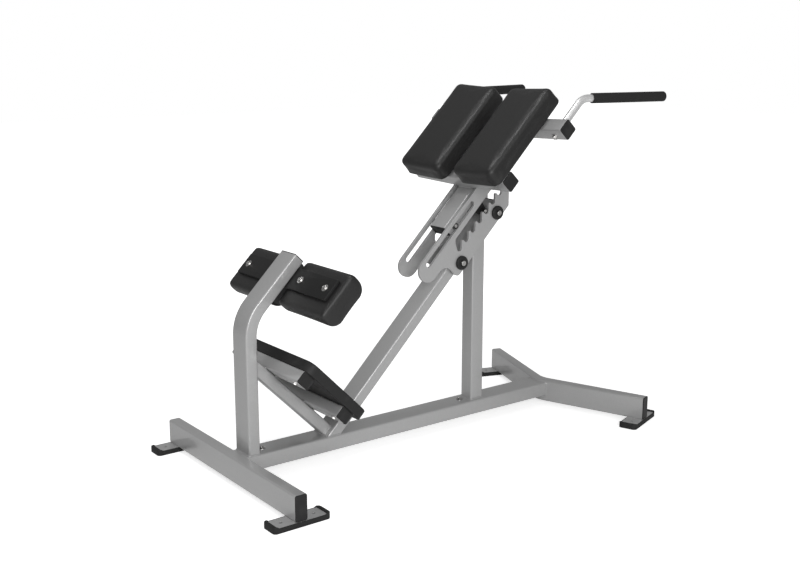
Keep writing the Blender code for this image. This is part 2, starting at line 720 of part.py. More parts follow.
def ankle_pads(slope):
    """Two padded rolls with drawn-in ends and a slight crown along their length."""
    low, high = ANKLE_PAD_ALONG
    near, far = ANKLE_PAD_Y
    top = ANKLE_PLATE_TOP - ANKLE_PLATE_THICK - GAP
    for side, hand in ((1, "left"), (-1, "right")):
        rings = []
        for i in range(ANKLE_CROWN_STEPS + 1):
            run = i / ANKLE_CROWN_STEPS
            crown = ANKLE_CROWN * (1 - (2 * run - 1) ** 2)
            y = near + ANKLE_PAD_EDGE + run * (far - near - 2 * ANKLE_PAD_EDGE)
            rings.append((y, ANKLE_CROWN - crown))
        for i in range(1, ANKLE_EDGE_STEPS + 1):
            angle = i / ANKLE_EDGE_STEPS * pi / 2
            ease = ANKLE_PAD_EDGE * (1 - cos(angle))
            reach = ANKLE_PAD_EDGE * sin(angle)
            rings.insert(0, (near + ANKLE_PAD_EDGE - reach, ANKLE_CROWN + ease))
            rings.append((far - ANKLE_PAD_EDGE + reach, ANKLE_CROWN + ease))
        shape = []
        for y, inset in rings:
            section = ankle_section(high - low, ANKLE_PAD_THICK, inset)
            shape.append([((low + high) / 2 + a, side * y, top + b) for a, b in section])
        solid(f"ankle_pad_{hand}", loft(shape), LEATHER, slope)


def lifted_pin():
    """How far the lock pin moves level and upright when the carriage tilts."""
    reach = hypot(LOCK_ALONG, LOCK_DROP)
    rest = atan2(-LOCK_DROP, LOCK_ALONG)
    seated = from_rail(LOCK_ALONG, -LOCK_DROP)
    lifted = from_rail(reach * cos(rest + LIFT), reach * sin(rest + LIFT))
    return lifted[0] - seated[0], lifted[1] - seated[1]


def rack_outline():
    """The rack's edge, level and upright from the guide pin, from its low wall's top to the highest
    notch, with a rounded tooth between each two notches, which widens up the slope when they stand far
    apart. The low wall leans back from the lowest notch by what the lock pin needs there when the
    carriage tilts."""
    radius = NOTCH_WIDTH / 2
    pin_x, pin_z = from_rail(LOCK_ALONG, -LOCK_DROP)
    pitch_x = NOTCH_PITCH * cos(SLOPE_ANGLE)
    pitch_z = NOTCH_PITCH * sin(SLOPE_ANGLE)
    floor_z = pin_z - LOCK_ROLLER_RADIUS - GAP + radius
    centres = [
        (pin_x + (i - REST_NOTCH) * pitch_x, floor_z + (i - REST_NOTCH) * pitch_z)
        for i in range(NOTCH_COUNT)
    ]
    room_back = pitch_x - radius - TOOTH_RADIUS
    tooth_back = min(room_back, (radius + TOOTH_RADIUS) * cos(TOOTH_MEET))
    spare = room_back - tooth_back
    tooth_drop = ((radius + TOOTH_RADIUS) ** 2 - tooth_back**2) ** 0.5
    meet = atan2(tooth_drop, tooth_back)
    room = LOCK_ROLLER_RADIUS + LIFT_CLEARANCE
    lift_x, lift_z = lifted_pin()
    lean = atan2(-lift_x, lift_z)
    wall = (pin_x - REST_NOTCH * pitch_x + lift_x - room, pin_z - REST_NOTCH * pitch_z + lift_z)
    wall = (wall[0], wall[1] - room * tan(lean / 2))
    back = Vector(wall) - Vector(centres[0])
    low_start = atan2(back.y, back.x) + acos(radius / back.length)
    points = [wall]
    for i, (x, z) in enumerate(centres):
        start = pi + meet if i else low_start
        points += arc((x, z), radius, start, 2 * pi, NOTCH_STEPS)
        if i + 1 < NOTCH_COUNT:
            tooth_x = x + radius + TOOTH_RADIUS
            tooth_z = z + pitch_z - tooth_drop - spare * tan(SLOPE_ANGLE)
            for a, b in arc((0, 0), TOOTH_RADIUS, pi, meet, TOOTH_STEPS):
                wider = spare if atan2(b, a) < SLOPE_ANGLE + pi / 2 else 0
                points.append((tooth_x + a + wider, tooth_z + b + wider * tan(SLOPE_ANGLE)))
    return points


def rack_opening():
    """The rack's outline along and off the slope, closed along the channel's top."""
    points = rack_outline()
    low_x = points[0][0]
    high_x = points[-1][0]
    tops = CHANNEL_TOP / cos(SLOPE_ANGLE)
    low_corner = (low_x, low_x * tan(SLOPE_ANGLE) + tops)
    high_corner = (high_x, high_x * tan(SLOPE_ANGLE) + tops)
    high_arc = round_corner(points[-1], high_corner, low_corner, CHANNEL_CORNER, CHANNEL_STEPS)
    low_arc = round_corner(high_corner, low_corner, points[0], CHANNEL_CORNER, CHANNEL_STEPS)
    return [along_rail(x, z) for x, z in points + high_arc + low_arc]


def slot_ends():
    """Centres of the guide slot's two round ends."""
    low = -REST_NOTCH * NOTCH_PITCH - GAP
    high = (NOTCH_COUNT - 1 - REST_NOTCH) * NOTCH_PITCH + SLOT_SPARE
    return low, high


def side_plates(guide):
    """Two plates with the guide slot, the rack and two tie bolt holes."""
    half = (PLATE_TOP - ARM_BOTTOM) / 2 - GAP
    cosine = cos(SLOPE_ANGLE)
    low, high = slot_ends()
    arm_end = low - ARM_PAST_SLOT
    step = LOCK_ALONG - REST_NOTCH * NOTCH_PITCH - STEP_PAST_NOTCH
    upper_end = LOCK_ALONG + (NOTCH_COUNT - 1 - REST_NOTCH) * NOTCH_PITCH + PLATE_PAST_NOTCH
    nose_low = (PLATE_NOSE_AHEAD + PLATE_BOTTOM * sin(SLOPE_ANGLE)) / cosine
    nose_high = (upper_end * cosine - PLATE_NOSE_AHEAD) / sin(SLOPE_ANGLE)
    edge = rounded_outline([
        (arm_end, PLATE_TOP, half),
        (arm_end, ARM_BOTTOM, half),
        (step, ARM_BOTTOM, STEP_FILLET),
        (step, PLATE_BOTTOM, STEP_CORNER),
        (nose_low, PLATE_BOTTOM, PLATE_CORNER),
        (upper_end, nose_high, PLATE_CORNER),
        (upper_end, PLATE_TOP, PLATE_CORNER),
    ], PLATE_STEPS)
    slot_radius = GUIDE_ROLLER_RADIUS + SLOT_CLEARANCE
    slot = arc((high, 0), slot_radius, -pi / 2, pi / 2, SLOT_STEPS)
    slot += arc((low, 0), slot_radius, pi / 2, 3 * pi / 2, SLOT_STEPS)
    holes = []
    for along in TIE_ALONG:
        ring = circle(TIE_RADIUS + GAP, ROUND_STEPS)
        holes.append([(x + along, y - TIE_DROP) for x, y in ring])
    outlines = [edge, slot, rack_opening(), *holes]
    mid = (PLATE_INNER + PLATE_OUTER) / 2
    for side, hand in ((1, "left"), (-1, "right")):
        place = facing((0, side * mid, 0), (0, -1, 0), (1, 0, 0))
        flat_piece(f"side_plate_{hand}", outlines, PLATE_THICK, STEEL, guide, place)


def tie_bolts(guide):
    """Bolts through both side plates and the diagonal tube, with spacer collars and round caps."""
    inner = DIAGONAL_WIDTH / 2 + GAP
    outer = PLATE_INNER - GAP
    cap = PLATE_OUTER + GAP
    stud = cap + TIE_CAP_THICK + GAP
    half = [
        (TIE_RADIUS, inner),
        (TIE_COLLAR_RADIUS, inner),
        (TIE_COLLAR_RADIUS, outer),
        (TIE_RADIUS, outer),
        (TIE_RADIUS, stud),
        (TIE_STUD_RADIUS, stud),
        (TIE_STUD_RADIUS, stud + TIE_STUD_LENGTH),
    ]
    profile = [(radius, -height) for radius, height in reversed(half)] + half
    bore = TIE_RADIUS + GAP
    round_about = (TIE_CAP_RADIUS - TIE_CAP_ROUND, TIE_CAP_THICK - TIE_CAP_ROUND)
    rounding = arc(round_about, TIE_CAP_ROUND, 0, pi / 2, ROUND_STEPS // 4)
    cap_profile = [(bore, 0), (TIE_CAP_RADIUS, 0), *rounding, (bore, TIE_CAP_THICK)]
    for level, along in zip(("lower", "upper"), TIE_ALONG):
        across = facing((along, 0, -TIE_DROP), (0, 1, 0), (1, 0, 0))
        solid(f"tie_bolt_{level}", turned_shape(profile), CHROME, guide, across)
        for side, hand in ((1, "left"), (-1, "right")):
            at = facing((along, side * cap, -TIE_DROP), (0, side, 0), (1, 0, 0))
            shape = turned_shape(cap_profile, CAP_STEPS, closed=True)
            solid(f"tie_cap_{level}_{hand}", shape, PLASTIC, guide, at)


def guide_pin(pivot):
    """The pin that the carriage tilts on, and the two rollers that carry it in the slots."""
    across = facing((0, 0, 0), (0, 1, 0), (1, 0, 0))
    inner = DIAGONAL_WIDTH / 2 + GAP
    outer = PLATE_OUTER - ROLLER_INSET
    profile = [(PIN_RADIUS, -outer), (PIN_RADIUS, outer)]
    solid("guide_pin", turned_shape(profile), CHROME, pivot, across)
    bore = PIN_RADIUS + GAP
    ring = [
        (bore, inner),
        (GUIDE_ROLLER_RADIUS, inner),
        (GUIDE_ROLLER_RADIUS, outer),
        (bore, outer),
    ]
    for side, hand in ((1, "left"), (-1, "right")):
        at = facing((0, 0, 0), (0, side, 0), (1, 0, 0))
        shape = turned_shape(ring, ROLLER_STEPS, closed=True)
        solid(f"guide_roller_{hand}", shape, PLASTIC, pivot, at)


def carriage_tube(carriage):
    """The sliding tube, with a welded shim under each cross tube."""
    sides = (CARRIAGE_DEPTH, DIAGONAL_WIDTH)
    mid = CARRIAGE_TOP - CARRIAGE_DEPTH / 2
    low, high = CARRIAGE_ENDS
    ends = (low + CAP_THICK + GAP, high)
    tube = straight_tube("carriage_tube", "X", sides, (mid, 0), ends, carriage)
    half = DIAGONAL_WIDTH / 2 - TUBE_CORNER
    under = CARRIAGE_TOP - SHIM_SINK
    middle = CARRIAGE_TOP + SHIM_THICK
    edge = middle + half * tan(CROSS_TILT)
    section = [(-half, under), (half, under), (half, edge), (0, middle), (-half, edge)]
    for along in (LOWER_CROSS_ALONG, UPPER_CROSS_ALONG):
        faces = (along - CROSS_SIDE / 2, along + CROSS_SIDE / 2)
        rings = [[(x, y, z) for y, z in section] for x in faces]
        boolean(tube, solid("carriage_shim", loft(rings), STEEL, carriage), "UNION")
    across = facing((0, 0, 0), (0, 1, 0), (1, 0, 0))
    drill(tube, PIN_RADIUS + GAP, across, 2 * DIAGONAL_WIDTH, carriage)
    cap_place = facing((ends[0], 0, mid), (-1, 0, 0), (0, 0, 1))
    tube_cap("carriage_cap", sides, cap_place, carriage)


def lock_bracket(carriage):
    """Two cheeks on a web under the carriage tube, which hold the lock pin."""
    top = CARRIAGE_TOP - CARRIAGE_DEPTH - GAP
    nose = LOCK_DROP + BRACKET_NOSE
    half = BRACKET_HALF_LENGTH
    edge = rounded_outline([
        (LOCK_ALONG + half, top, BRACKET_EDGE),
        (LOCK_ALONG - half, top, BRACKET_EDGE),
        (LOCK_ALONG - BRACKET_NOSE, -nose, BRACKET_NOSE - GAP),
        (LOCK_ALONG + BRACKET_NOSE, -nose, BRACKET_NOSE - GAP),
    ])
    rings = [[(x, y, z) for x, z in edge] for y in (-BRACKET_HALF_WIDTH, BRACKET_HALF_WIDTH)]
    bracket = solid("lock_bracket", loft(rings), BLACK_STEEL, carriage)
    room = BRACKET_HALF_WIDTH - BRACKET_CHEEK
    low = -nose - BRACKET_NOSE
    section = rounded_rectangle((4 * half, 2 * room), TUBE_WALL)
    rings = [[(x + LOCK_ALONG, y, z) for x, y in section] for z in (low, top - BRACKET_WEB)]
    tool = solid("lock_bracket_room", loft(rings), STEEL, carriage)
    boolean(bracket, tool, "DIFFERENCE")
    across = facing((LOCK_ALONG, 0, -LOCK_DROP), (0, 1, 0), (1, 0, 0))
    drill(bracket, PIN_RADIUS + GAP, across, 2 * DIAGONAL_WIDTH, carriage)


def lock_pin(carriage):
    """Pin through the bracket, with a sleeve at each end that drops into the rack."""
    sleeve = DIAGONAL_WIDTH / 2 + GAP
    outer = PLATE_OUTER - ROLLER_INSET
    half = [
        (PIN_RADIUS, BRACKET_HALF_WIDTH + GAP),
        (PIN_RADIUS, sleeve),
        (LOCK_ROLLER_RADIUS, sleeve),
        (LOCK_ROLLER_RADIUS, outer - ROLLER_INSET / 2),
        (PIN_END_RADIUS, outer - ROLLER_INSET / 2),
        (PIN_END_RADIUS, outer),
    ]
    profile = [(radius, -height) for radius, height in reversed(half)] + half
    across = facing((LOCK_ALONG, 0, -LOCK_DROP), (0, 1, 0), (1, 0, 0))
    solid("lock_pin", turned_shape(profile, ROLLER_STEPS), CHROME, carriage, across)


def cross_arm(along, side):
    """The place at a cross tube's middle whose Y axis follows one of its two halves."""
    return shifted(along, 0, CROSS_MID) @ Matrix.Rotation(side * CROSS_TILT, 4, "X")


def cross_tubes(carriage):
    """Square tubes that carry the hip pads, mitred in the middle so that both ends rise; the upper one
    is longer and carries the handles."""
    sides = (CROSS_SIDE, CROSS_SIDE)
    outer = rounded_rectangle(sides, TUBE_CORNER)
    bore = rounded_rectangle(inset_sides(sides, TUBE_WALL), TUBE_CORNER - TUBE_WALL)
    mitre = Matrix.Scale(1 / cos(CROSS_TILT), 4, (0, 1, 0))
    places = (
        ("lower", LOWER_CROSS_ALONG, LOWER_CROSS_REACH),
        ("upper", UPPER_CROSS_ALONG, UPPER_CROSS_REACH),
    )
    for level, along, reach in places:
        end = reach - CAP_THICK - GAP
        frames = [
            cross_arm(along, -1) @ facing((0, -end, 0), (0, 1, 0), (1, 0, 0)),
            facing((along, 0, CROSS_MID), (0, 1, 0), (1, 0, 0)) @ mitre,
            cross_arm(along, 1) @ facing((0, end, 0), (0, 1, 0), (1, 0, 0)),
        ]
        tube = swept_tube(f"cross_tube_{level}", frames, outer, bore, STEEL, carriage)
        for side, hand in ((1, "left"), (-1, "right")):
            face = facing((0, side * end, 0), (0, side, 0), (1, 0, 0))
            tube_cap(f"cross_tube_{level}_cap_{hand}", sides, cross_arm(along, side) @ face, carriage)
            if level == "upper":
                hole = facing((along, side * HANDLE_Y, HANDLE_RISE), (1, 0, 0), (0, 1, 0))
                drill(tube, HANDLE_BOLT_RADIUS + GAP, hole, 2 * CROSS_SIDE, carriage)


def hip_pads(carriage):
    """Two cushions on the cross tubes' halves: drawn-in sides, a round edge and a crowned top."""
    low, high = HIP_PAD_ALONG
    near, far = HIP_PAD_REACH
    sides = (high - low, far - near)
    shoulder = HIP_PAD_THICK - HIP_PAD_CROWN - HIP_PAD_EDGE
    profile = []
    for i in range(HIP_SIDE_STEPS + 1):
        run = i / HIP_SIDE_STEPS
        profile.append((HIP_PAD_DRAW * (1 - sin(run * pi / 2)), shoulder * run))
    for i in range(1, HIP_EDGE_STEPS + 1):
        angle = i / HIP_EDGE_STEPS * pi / 2
        profile.append((HIP_PAD_EDGE * (1 - cos(angle)), shoulder + HIP_PAD_EDGE * sin(angle)))
    spare = sides[1] / 2 - HIP_PAD_EDGE
    for i in range(HIP_CROWN_STEPS):
        run = (i + 1) / (HIP_CROWN_STEPS + HIP_FLAT_SHARE)
        rise = HIP_PAD_CROWN * sin(run * pi / 2)
        profile.append((HIP_PAD_EDGE + run * spare, HIP_PAD_THICK - HIP_PAD_CROWN + rise))
    rings = []
    for inset, height in profile:
        corner = HIP_PAD_CORNER - min(inset, HIP_PAD_EDGE)
        section = rounded_rectangle(inset_sides(sides, inset), corner, HIP_CORNER_STEPS)
        rings.append([(x, y, height) for x, y in section])
    for side, hand in ((1, "left"), (-1, "right")):
        middle = shifted(y=side * (near + far) / 2, z=CROSS_SIDE / 2 + GAP)
        place = cross_arm((low + high) / 2, side) @ middle
        solid(f"hip_pad_{hand}", loft(rings), LEATHER, carriage, place)


def handle_frames(side):
    """Frames of one handle tube: up the slope, then level and splayed outwards."""
    start_along = UPPER_CROSS_ALONG + CROSS_SIDE / 2 + GAP
    level = Vector((cos(SLOPE_ANGLE), 0, -sin(SLOPE_ANGLE)))
    heading = level * cos(HANDLE_SPLAY) + Vector((0, side * sin(HANDLE_SPLAY), 0))
    turn = acos(heading.x)
    towards = Vector((0, heading.y, heading.z)).normalized()
    start = facing((start_along, side * HANDLE_Y, HANDLE_RISE), (1, 0, 0), towards)
    tangent = HANDLE_BEND_RADIUS * tan(turn / 2)
    lead = HANDLE_BEND_ALONG - start_along - tangent
    tail = HANDLE_REACH - tangent
    return bent_path(start, lead, HANDLE_BEND_RADIUS, turn, (1, 0, 0), tail)


def handles(carriage):
    """Plated tubes with soft grips, each held by a bolt through the upper cross tube."""
    outer = circle(HANDLE_RADIUS, ROUND_STEPS)
    bore = circle(HANDLE_RADIUS - HANDLE_WALL, ROUND_STEPS)
    inner = HANDLE_RADIUS + GAP
    closed_at = HANDLE_REACH - GRIP_START + GAP
    dome = [
        (GRIP_RADIUS - GRIP_END * (1 - cos(step)), GRIP_LENGTH - GRIP_END * (1 - sin(step)))
        for step in (0, pi / 6, pi / 3, pi / 2)
    ]
    grip_profile = [
        (inner, closed_at),
        (inner, 0),
        (GRIP_RADIUS - GRIP_EDGE, 0),
        (GRIP_RADIUS, GRIP_EDGE),
        *dome,
    ]
    face = UPPER_CROSS_ALONG - CROSS_SIDE / 2
    bolt_profile = [
        (HANDLE_BOLT_RADIUS, CROSS_SIDE + HANDLE_RADIUS),
        (HANDLE_BOLT_RADIUS, -GAP),
        (WASHER_RADIUS, -GAP),
        (WASHER_RADIUS, -GAP - WASHER_THICK),
        (BOLT_HEAD_RADIUS, -GAP - WASHER_THICK),
        (BOLT_HEAD_RADIUS, -GAP - WASHER_THICK - BOLT_HEAD_THICK),
    ]
    for side, hand in ((1, "left"), (-1, "right")):
        frames = handle_frames(side)
        swept_tube(f"handle_{hand}", frames, outer, bore, CHROME, carriage)
        grip_place = frames[-1] @ shifted(z=GRIP_START - HANDLE_REACH)
        solid(f"grip_{hand}", turned_shape(grip_profile), RUBBER, carriage, grip_place)
        at = facing((face, side * HANDLE_Y, HANDLE_RISE), (1, 0, 0), (0, 1, 0))
        solid(f"handle_bolt_{hand}", turned_shape(bolt_profile), CHROME, carriage, at)


def clear_scene():
    for item in list(bpy.data.objects):
        bpy.data.objects.remove(item)


def build():
    bench = empty("bench", shifted(-outline_middle()))
    slope = empty("slope", slope_frame(SLOPE_FOOT_X, BEAM_TOP), bench)
    guide = empty("guide_rest", shifted(GUIDE_ALONG, 0, GUIDE_RISE), slope)
    pivot = empty("guide_slider", Matrix.Identity(4), guide)
    carriage = empty("carriage", Matrix.Identity(4), guide)
    rear_stabiliser(bench)
    front_stabiliser(bench)
    main_beam(bench)
    rear_upright(bench)
    front_upright(bench)
    diagonal_tube(slope, guide)
    foot_support(slope)
    crossbars(slope)
    foot_plate(slope)
    ankle_plate(slope)
    ankle_pads(slope)
    side_plates(guide)
    tie_bolts(guide)
    guide_pin(pivot)
    carriage_tube(carriage)
    lock_bracket(carriage)
    lock_pin(carriage)
    cross_tubes(carriage)
    hip_pads(carriage)
    handles(carriage)


clear_scene()
STEEL = finish("silver_paint", (0.42, 0.42, 0.43), 0.38, 0.35)
BLACK_STEEL = finish("black_paint", (0.02, 0.02, 0.021), 0.45, 0.1)
PLASTIC = finish("black_plastic", (0.018, 0.018, 0.019), 0.5, 0.0)
RUBBER = finish("black_rubber", (0.015, 0.015, 0.016), 0.7, 0.0)
LEATHER = finish("black_vinyl", (0.012, 0.012, 0.013), 0.45, 0.0)
CHROME = finish("bright_plate", (0.75, 0.75, 0.76), 0.15, 1.0)
build()
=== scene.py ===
"""Looks of a free-standing hyperextension bench: painted tubes, upholstered pads and plated handles.

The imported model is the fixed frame. Each sub-assembly below is a class that builds finer surfaces in the
places of the frame's nodes, dresses them and puts them on the frame's bodies. Lengths are in metres.
"""

from __future__ import annotations

import json
import logging
from dataclasses import dataclass
from enum import Enum
from functools import cached_property
from typing import Any, Callable, Sequence, Union

import bmesh
import bpy
import numpy as np
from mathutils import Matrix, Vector

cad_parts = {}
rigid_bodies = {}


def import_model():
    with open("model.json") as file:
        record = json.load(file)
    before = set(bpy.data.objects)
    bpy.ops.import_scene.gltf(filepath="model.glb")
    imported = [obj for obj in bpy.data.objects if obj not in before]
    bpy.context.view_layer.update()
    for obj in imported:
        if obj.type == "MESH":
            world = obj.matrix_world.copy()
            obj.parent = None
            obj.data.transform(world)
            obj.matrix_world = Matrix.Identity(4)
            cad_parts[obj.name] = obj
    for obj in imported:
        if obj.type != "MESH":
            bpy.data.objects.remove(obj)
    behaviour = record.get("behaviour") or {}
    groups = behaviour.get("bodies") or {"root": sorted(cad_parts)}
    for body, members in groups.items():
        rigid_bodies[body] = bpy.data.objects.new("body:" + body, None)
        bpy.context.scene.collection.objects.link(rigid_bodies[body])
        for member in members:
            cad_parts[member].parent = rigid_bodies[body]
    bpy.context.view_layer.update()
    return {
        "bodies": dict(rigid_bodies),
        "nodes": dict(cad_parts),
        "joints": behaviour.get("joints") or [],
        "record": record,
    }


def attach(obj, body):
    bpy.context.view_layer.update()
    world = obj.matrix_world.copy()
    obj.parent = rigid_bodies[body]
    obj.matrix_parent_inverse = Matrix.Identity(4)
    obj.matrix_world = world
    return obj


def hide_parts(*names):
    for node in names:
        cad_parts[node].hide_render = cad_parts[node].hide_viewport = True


LOG = logging.getLogger("bench")
Array = np.ndarray
Vec = Sequence[float]
Sides = tuple[float, float]
Profile = Sequence[tuple[float, float]]
Height = Union[float, Array, Callable[[Array, Array], Array]]
Values = dict[Any, Any]
X, Y, Z = (1, 0, 0), (0, 1, 0), (0, 0, 1)
DOWN = (0, 0, -1)
RIGHT_ANGLE = np.pi / 2
GAP = 0.0003  # between pieces that touch, as in the frame
BROKEN = 0.0006  # the broken edge of a sawn tube or a turned pin
TUBE_WALL = 0.003
TUBE_CORNER = 0.006
CAP_REACH = 0.0033  # an end cap's face past its tube's end
CROSS_TILT = float(np.radians(3))  # each half of a cross tube, and the pad on it, rises outwards
RACK_PINS = 0.0403  # from the plane of symmetry to where collars and sleeves start
SHARP = 32.0  # edges that bend by more degrees than this stay sharp


class Body(Enum):
    """The bodies that pieces ride on."""

    FRAME = "frame"
    SLIDER = "slider"
    CARRIAGE = "carriage"


class Side(Enum):
    """The bench's two sides, with the sign of their Y."""

    LEFT = 1
    RIGHT = -1

    @property
    def word(self) -> str:
        """The side's word in a node's name."""
        return self.name.lower()


class Level(Enum):
    """Which of two pieces along the slope."""

    LOWER = "lower"
    UPPER = "upper"


class End(Enum):
    """The bench's two ends."""

    REAR = "rear"
    FRONT = "front"


class Slot(Enum):
    """The record's material slots."""

    SILVER = "silver_paint"
    BLACK = "black_paint"
    PLASTIC = "black_plastic"
    RUBBER = "black_rubber"
    VINYL = "black_vinyl"
    PLATED = "bright_plate"


def unit(vectors: Any) -> Array:
    """Vectors, one or a row each, at a length of 1."""
    rows = np.asarray(vectors, float)
    return rows / np.linalg.norm(rows, axis=-1, keepdims=True)


def coords(mesh: Any) -> Array:
    """Reads a mesh's points.

    Args:
        mesh: The mesh.

    Returns:
        The points, one row each.
    """
    points = np.empty(len(mesh.vertices) * 3)
    mesh.vertices.foreach_get("co", points)
    return points.reshape(-1, 3)


def set_coords(mesh: Any, points: Array) -> None:
    """Moves a mesh's points."""
    mesh.vertices.foreach_set("co", points.ravel())


def linked(name: str, data: Any) -> Any:
    """Makes an object and puts it in the scene.

    Args:
        name: Its name.
        data: Its mesh, curve, lamp or camera.

    Returns:
        The object.
    """
    made = bpy.data.objects.new(name, data)
    bpy.context.scene.collection.objects.link(made)
    return made


def worked_out(source: Any, name: str) -> Any:
    """Makes a mesh of an object with its modifiers applied, or of a curve with its thickness.

    Args:
        source: The object.
        name: The mesh's name.

    Returns:
        The mesh.
    """
    view = bpy.context.evaluated_depsgraph_get()
    mesh = bpy.data.meshes.new_from_object(source.evaluated_get(view))
    mesh.name = name
    return mesh


@dataclass(frozen=True)
class Place:
    """A frame in the bench's space: an origin, and unit axes as the columns of a matrix."""

    origin: Array
    axes: Array

    def out(self, local: Any) -> Array:
        """Points of this place as points of the bench."""
        return np.asarray(local, float) @ self.axes.T + self.origin

    def into(self, points: Array) -> Array:
        """Points of the bench as points of this place."""
        return (np.asarray(points, float) - self.origin) @ self.axes

    def at(self, point: Vec, ahead: Vec = Z, across: Vec = X) -> Place:
        """A place at one of this one's points.

        Args:
            point: Its origin, in this place.
            ahead: Its Z axis, in this place.
            across: The direction its X axis leans to; the part along ahead is taken off.

        Returns:
            The new place.
        """
        z = unit(ahead)
        x = unit(np.asarray(across, float) - np.dot(across, z) * z)
        return Place(self.out(point), self.axes @ np.stack([x, np.cross(z, x), z], axis=1))


WORLD = Place(np.zeros(3), np.eye(3))


class Layout:
    """The frame's nodes, read as points, and the slope that most of the bench hangs on."""

    def __init__(self, frame: dict[str, Any]) -> None:
        """Finds the slope from the tilting joint's place and the sliding joint's axis.
        """
        self.nodes = frame["nodes"]
        joints = {joint["name"]: joint for joint in frame["joints"]}
        rail = unit(joints["height_slide"]["axis"])
        pivot = np.array(joints["pad_tilt"]["pos_m"], float)
        self.slope = Place(pivot, np.stack([rail, Y, np.cross(rail, Y)], axis=1))

    def bounds(self, node: str, place: Place) -> tuple[Array, Array, Array]:
        """A node's box in a place.

        Args:
            node: The node's name.
            place: Where to measure it.

        Returns:
            Its lowest corner, its highest corner and its middle.
        """
        local = place.into(coords(self.nodes[node].data))
        low, high = local.min(axis=0), local.max(axis=0)
        return low, high, (low + high) / 2


def sides_between(arcs: Array, straight: int) -> Array:
    """A ring of arcs, with extra points at equal shares of the way from each arc to the next.

    Args:
        arcs: Each arc's points.
        straight: Extra points along each side.

    Returns:
        The ring's points, one row each.
    """
    share = np.linspace(0, 1, straight + 2)[1:-1][None, :, None]
    lines = arcs[:, -1:] * (1 - share) + np.roll(arcs[:, :1], -1, axis=0) * share
    return np.concatenate([arcs, lines], axis=1).reshape(-1, 2)


def rounded_ring(
    width: float, height: float, radius: float, steps: int = 6, straight: int = 0
) -> Array:
    """A rectangle with round corners, anticlockwise from the middle of its +X side's upper end.

    Corner k has its centre at (±(width / 2 - radius), ±(height / 2 - radius)), and its arc turns from
    k to k + 1 right angles.

    Args:
        width: Its size along X.
        height: Its size along Y.
        radius: The corners' radius.
        steps: Steps in each corner.
        straight: Extra points along each side.

    Returns:
        The ring's points, one row each.
    """
    angle = np.arange(4)[:, None] * RIGHT_ANGLE + np.linspace(0, RIGHT_ANGLE, steps + 1)
    signs = np.array([(1, 1), (-1, 1), (-1, -1), (1, -1)])[:, None, :]
    centre = signs * (np.array([width, height]) / 2 - radius)
    return sides_between(centre + radius * np.stack([np.cos(angle), np.sin(angle)], axis=-1), straight)


def corner_ring(corners: Sequence[Vec], steps: int = 8, straight: int = 3) -> Array:
    """An outline with its own radius at each corner.

    Each corner's arc turns about the point that lies radius / sin(half the corner's angle) along its
    bisector, from the foot of the normal on one side to the foot on the other.

    Args:
        corners: Each corner's x, y and radius, anticlockwise.
        steps: Steps in each arc.
        straight: Extra points along each side.

    Returns:
        The outline's points, one row each.
    """
    tips = np.array(corners, float)
    spots, radius = tips[:, :2], tips[:, 2:]
    back = unit(np.roll(spots, 1, axis=0) - spots)
    ahead = unit(np.roll(spots, -1, axis=0) - spots)
    half = np.arccos(np.sum(back * ahead, axis=1, keepdims=True)) / 2
    centre = spots + unit(back + ahead) * radius / np.sin(half)
    first = spots + back * radius / np.tan(half) - centre
    turn = np.linspace(0, 1, steps + 1)[None, :] * (np.pi - 2 * half)
    turned_on = np.stack([-first[:, 1], first[:, 0]], axis=1)
    arcs = centre[:, None] + first[:, None] * np.cos(turn)[..., None]
    return sides_between(arcs + turned_on[:, None] * np.sin(turn)[..., None], straight)


def circle_ring(radius: Union[float, Array], steps: int = 48) -> Array:
    """A circle's points: radius times the cosine and sine of equal steps."""
    angle = np.linspace(0, 2 * np.pi, steps, endpoint=False)
    return np.reshape(radius, (-1, 1)) * np.stack([np.cos(angle), np.sin(angle)], axis=-1)


def hex_ring(flats: float, limit: float, steps: int = 72) -> Array:
    """A hexagon cut by a circle: at angle a the radius is the least of the limit and half the width over
    flats by the cosine of a's distance from the nearest flat's middle."""
    from_flat = np.mod(np.linspace(0, 2 * np.pi, steps, endpoint=False), np.pi / 3) - np.pi / 6
    return circle_ring(np.minimum(flats / 2 / np.cos(from_flat), limit), steps)


def tube_rings(sides: Sides) -> list[Array]:
    """A tube's section: its outer ring, that ring drawn in by a broken edge, and its bore's ring."""
    inwards = (0.0, BROKEN, TUBE_WALL)
    return [rounded_ring(sides[0] - 2 * i, sides[1] - 2 * i, TUBE_CORNER - i) for i in inwards]


def raised(ring: Array, height: Height) -> Array:
    """A flat ring with its height, given as a number, one for each point, or a function of x and y."""
    level = height(ring[:, 0], ring[:, 1]) if callable(height) else height
    return np.column_stack([ring, np.broadcast_to(level, len(ring))])


def round_edge(radius: float, steps: int) -> tuple[Array, Array]:
    """A quarter circle: at angle a, a draw of radius * (1 - cos a) and a rise of radius * sin a."""
    angle = np.linspace(0, RIGHT_ANGLE, steps + 1)
    return radius * (1 - np.cos(angle)), radius * np.sin(angle)


def rows(first: Array, second: Array) -> list[tuple[float, float]]:
    """Two columns as a profile."""
    return list(zip(first.tolist(), second.tolist()))


def both_ways(half: Profile) -> list[tuple[float, float]]:
    """A pin's profile from the radii and heights of its upper half."""
    return [(radius, -height) for radius, height in reversed(half)] + list(half)


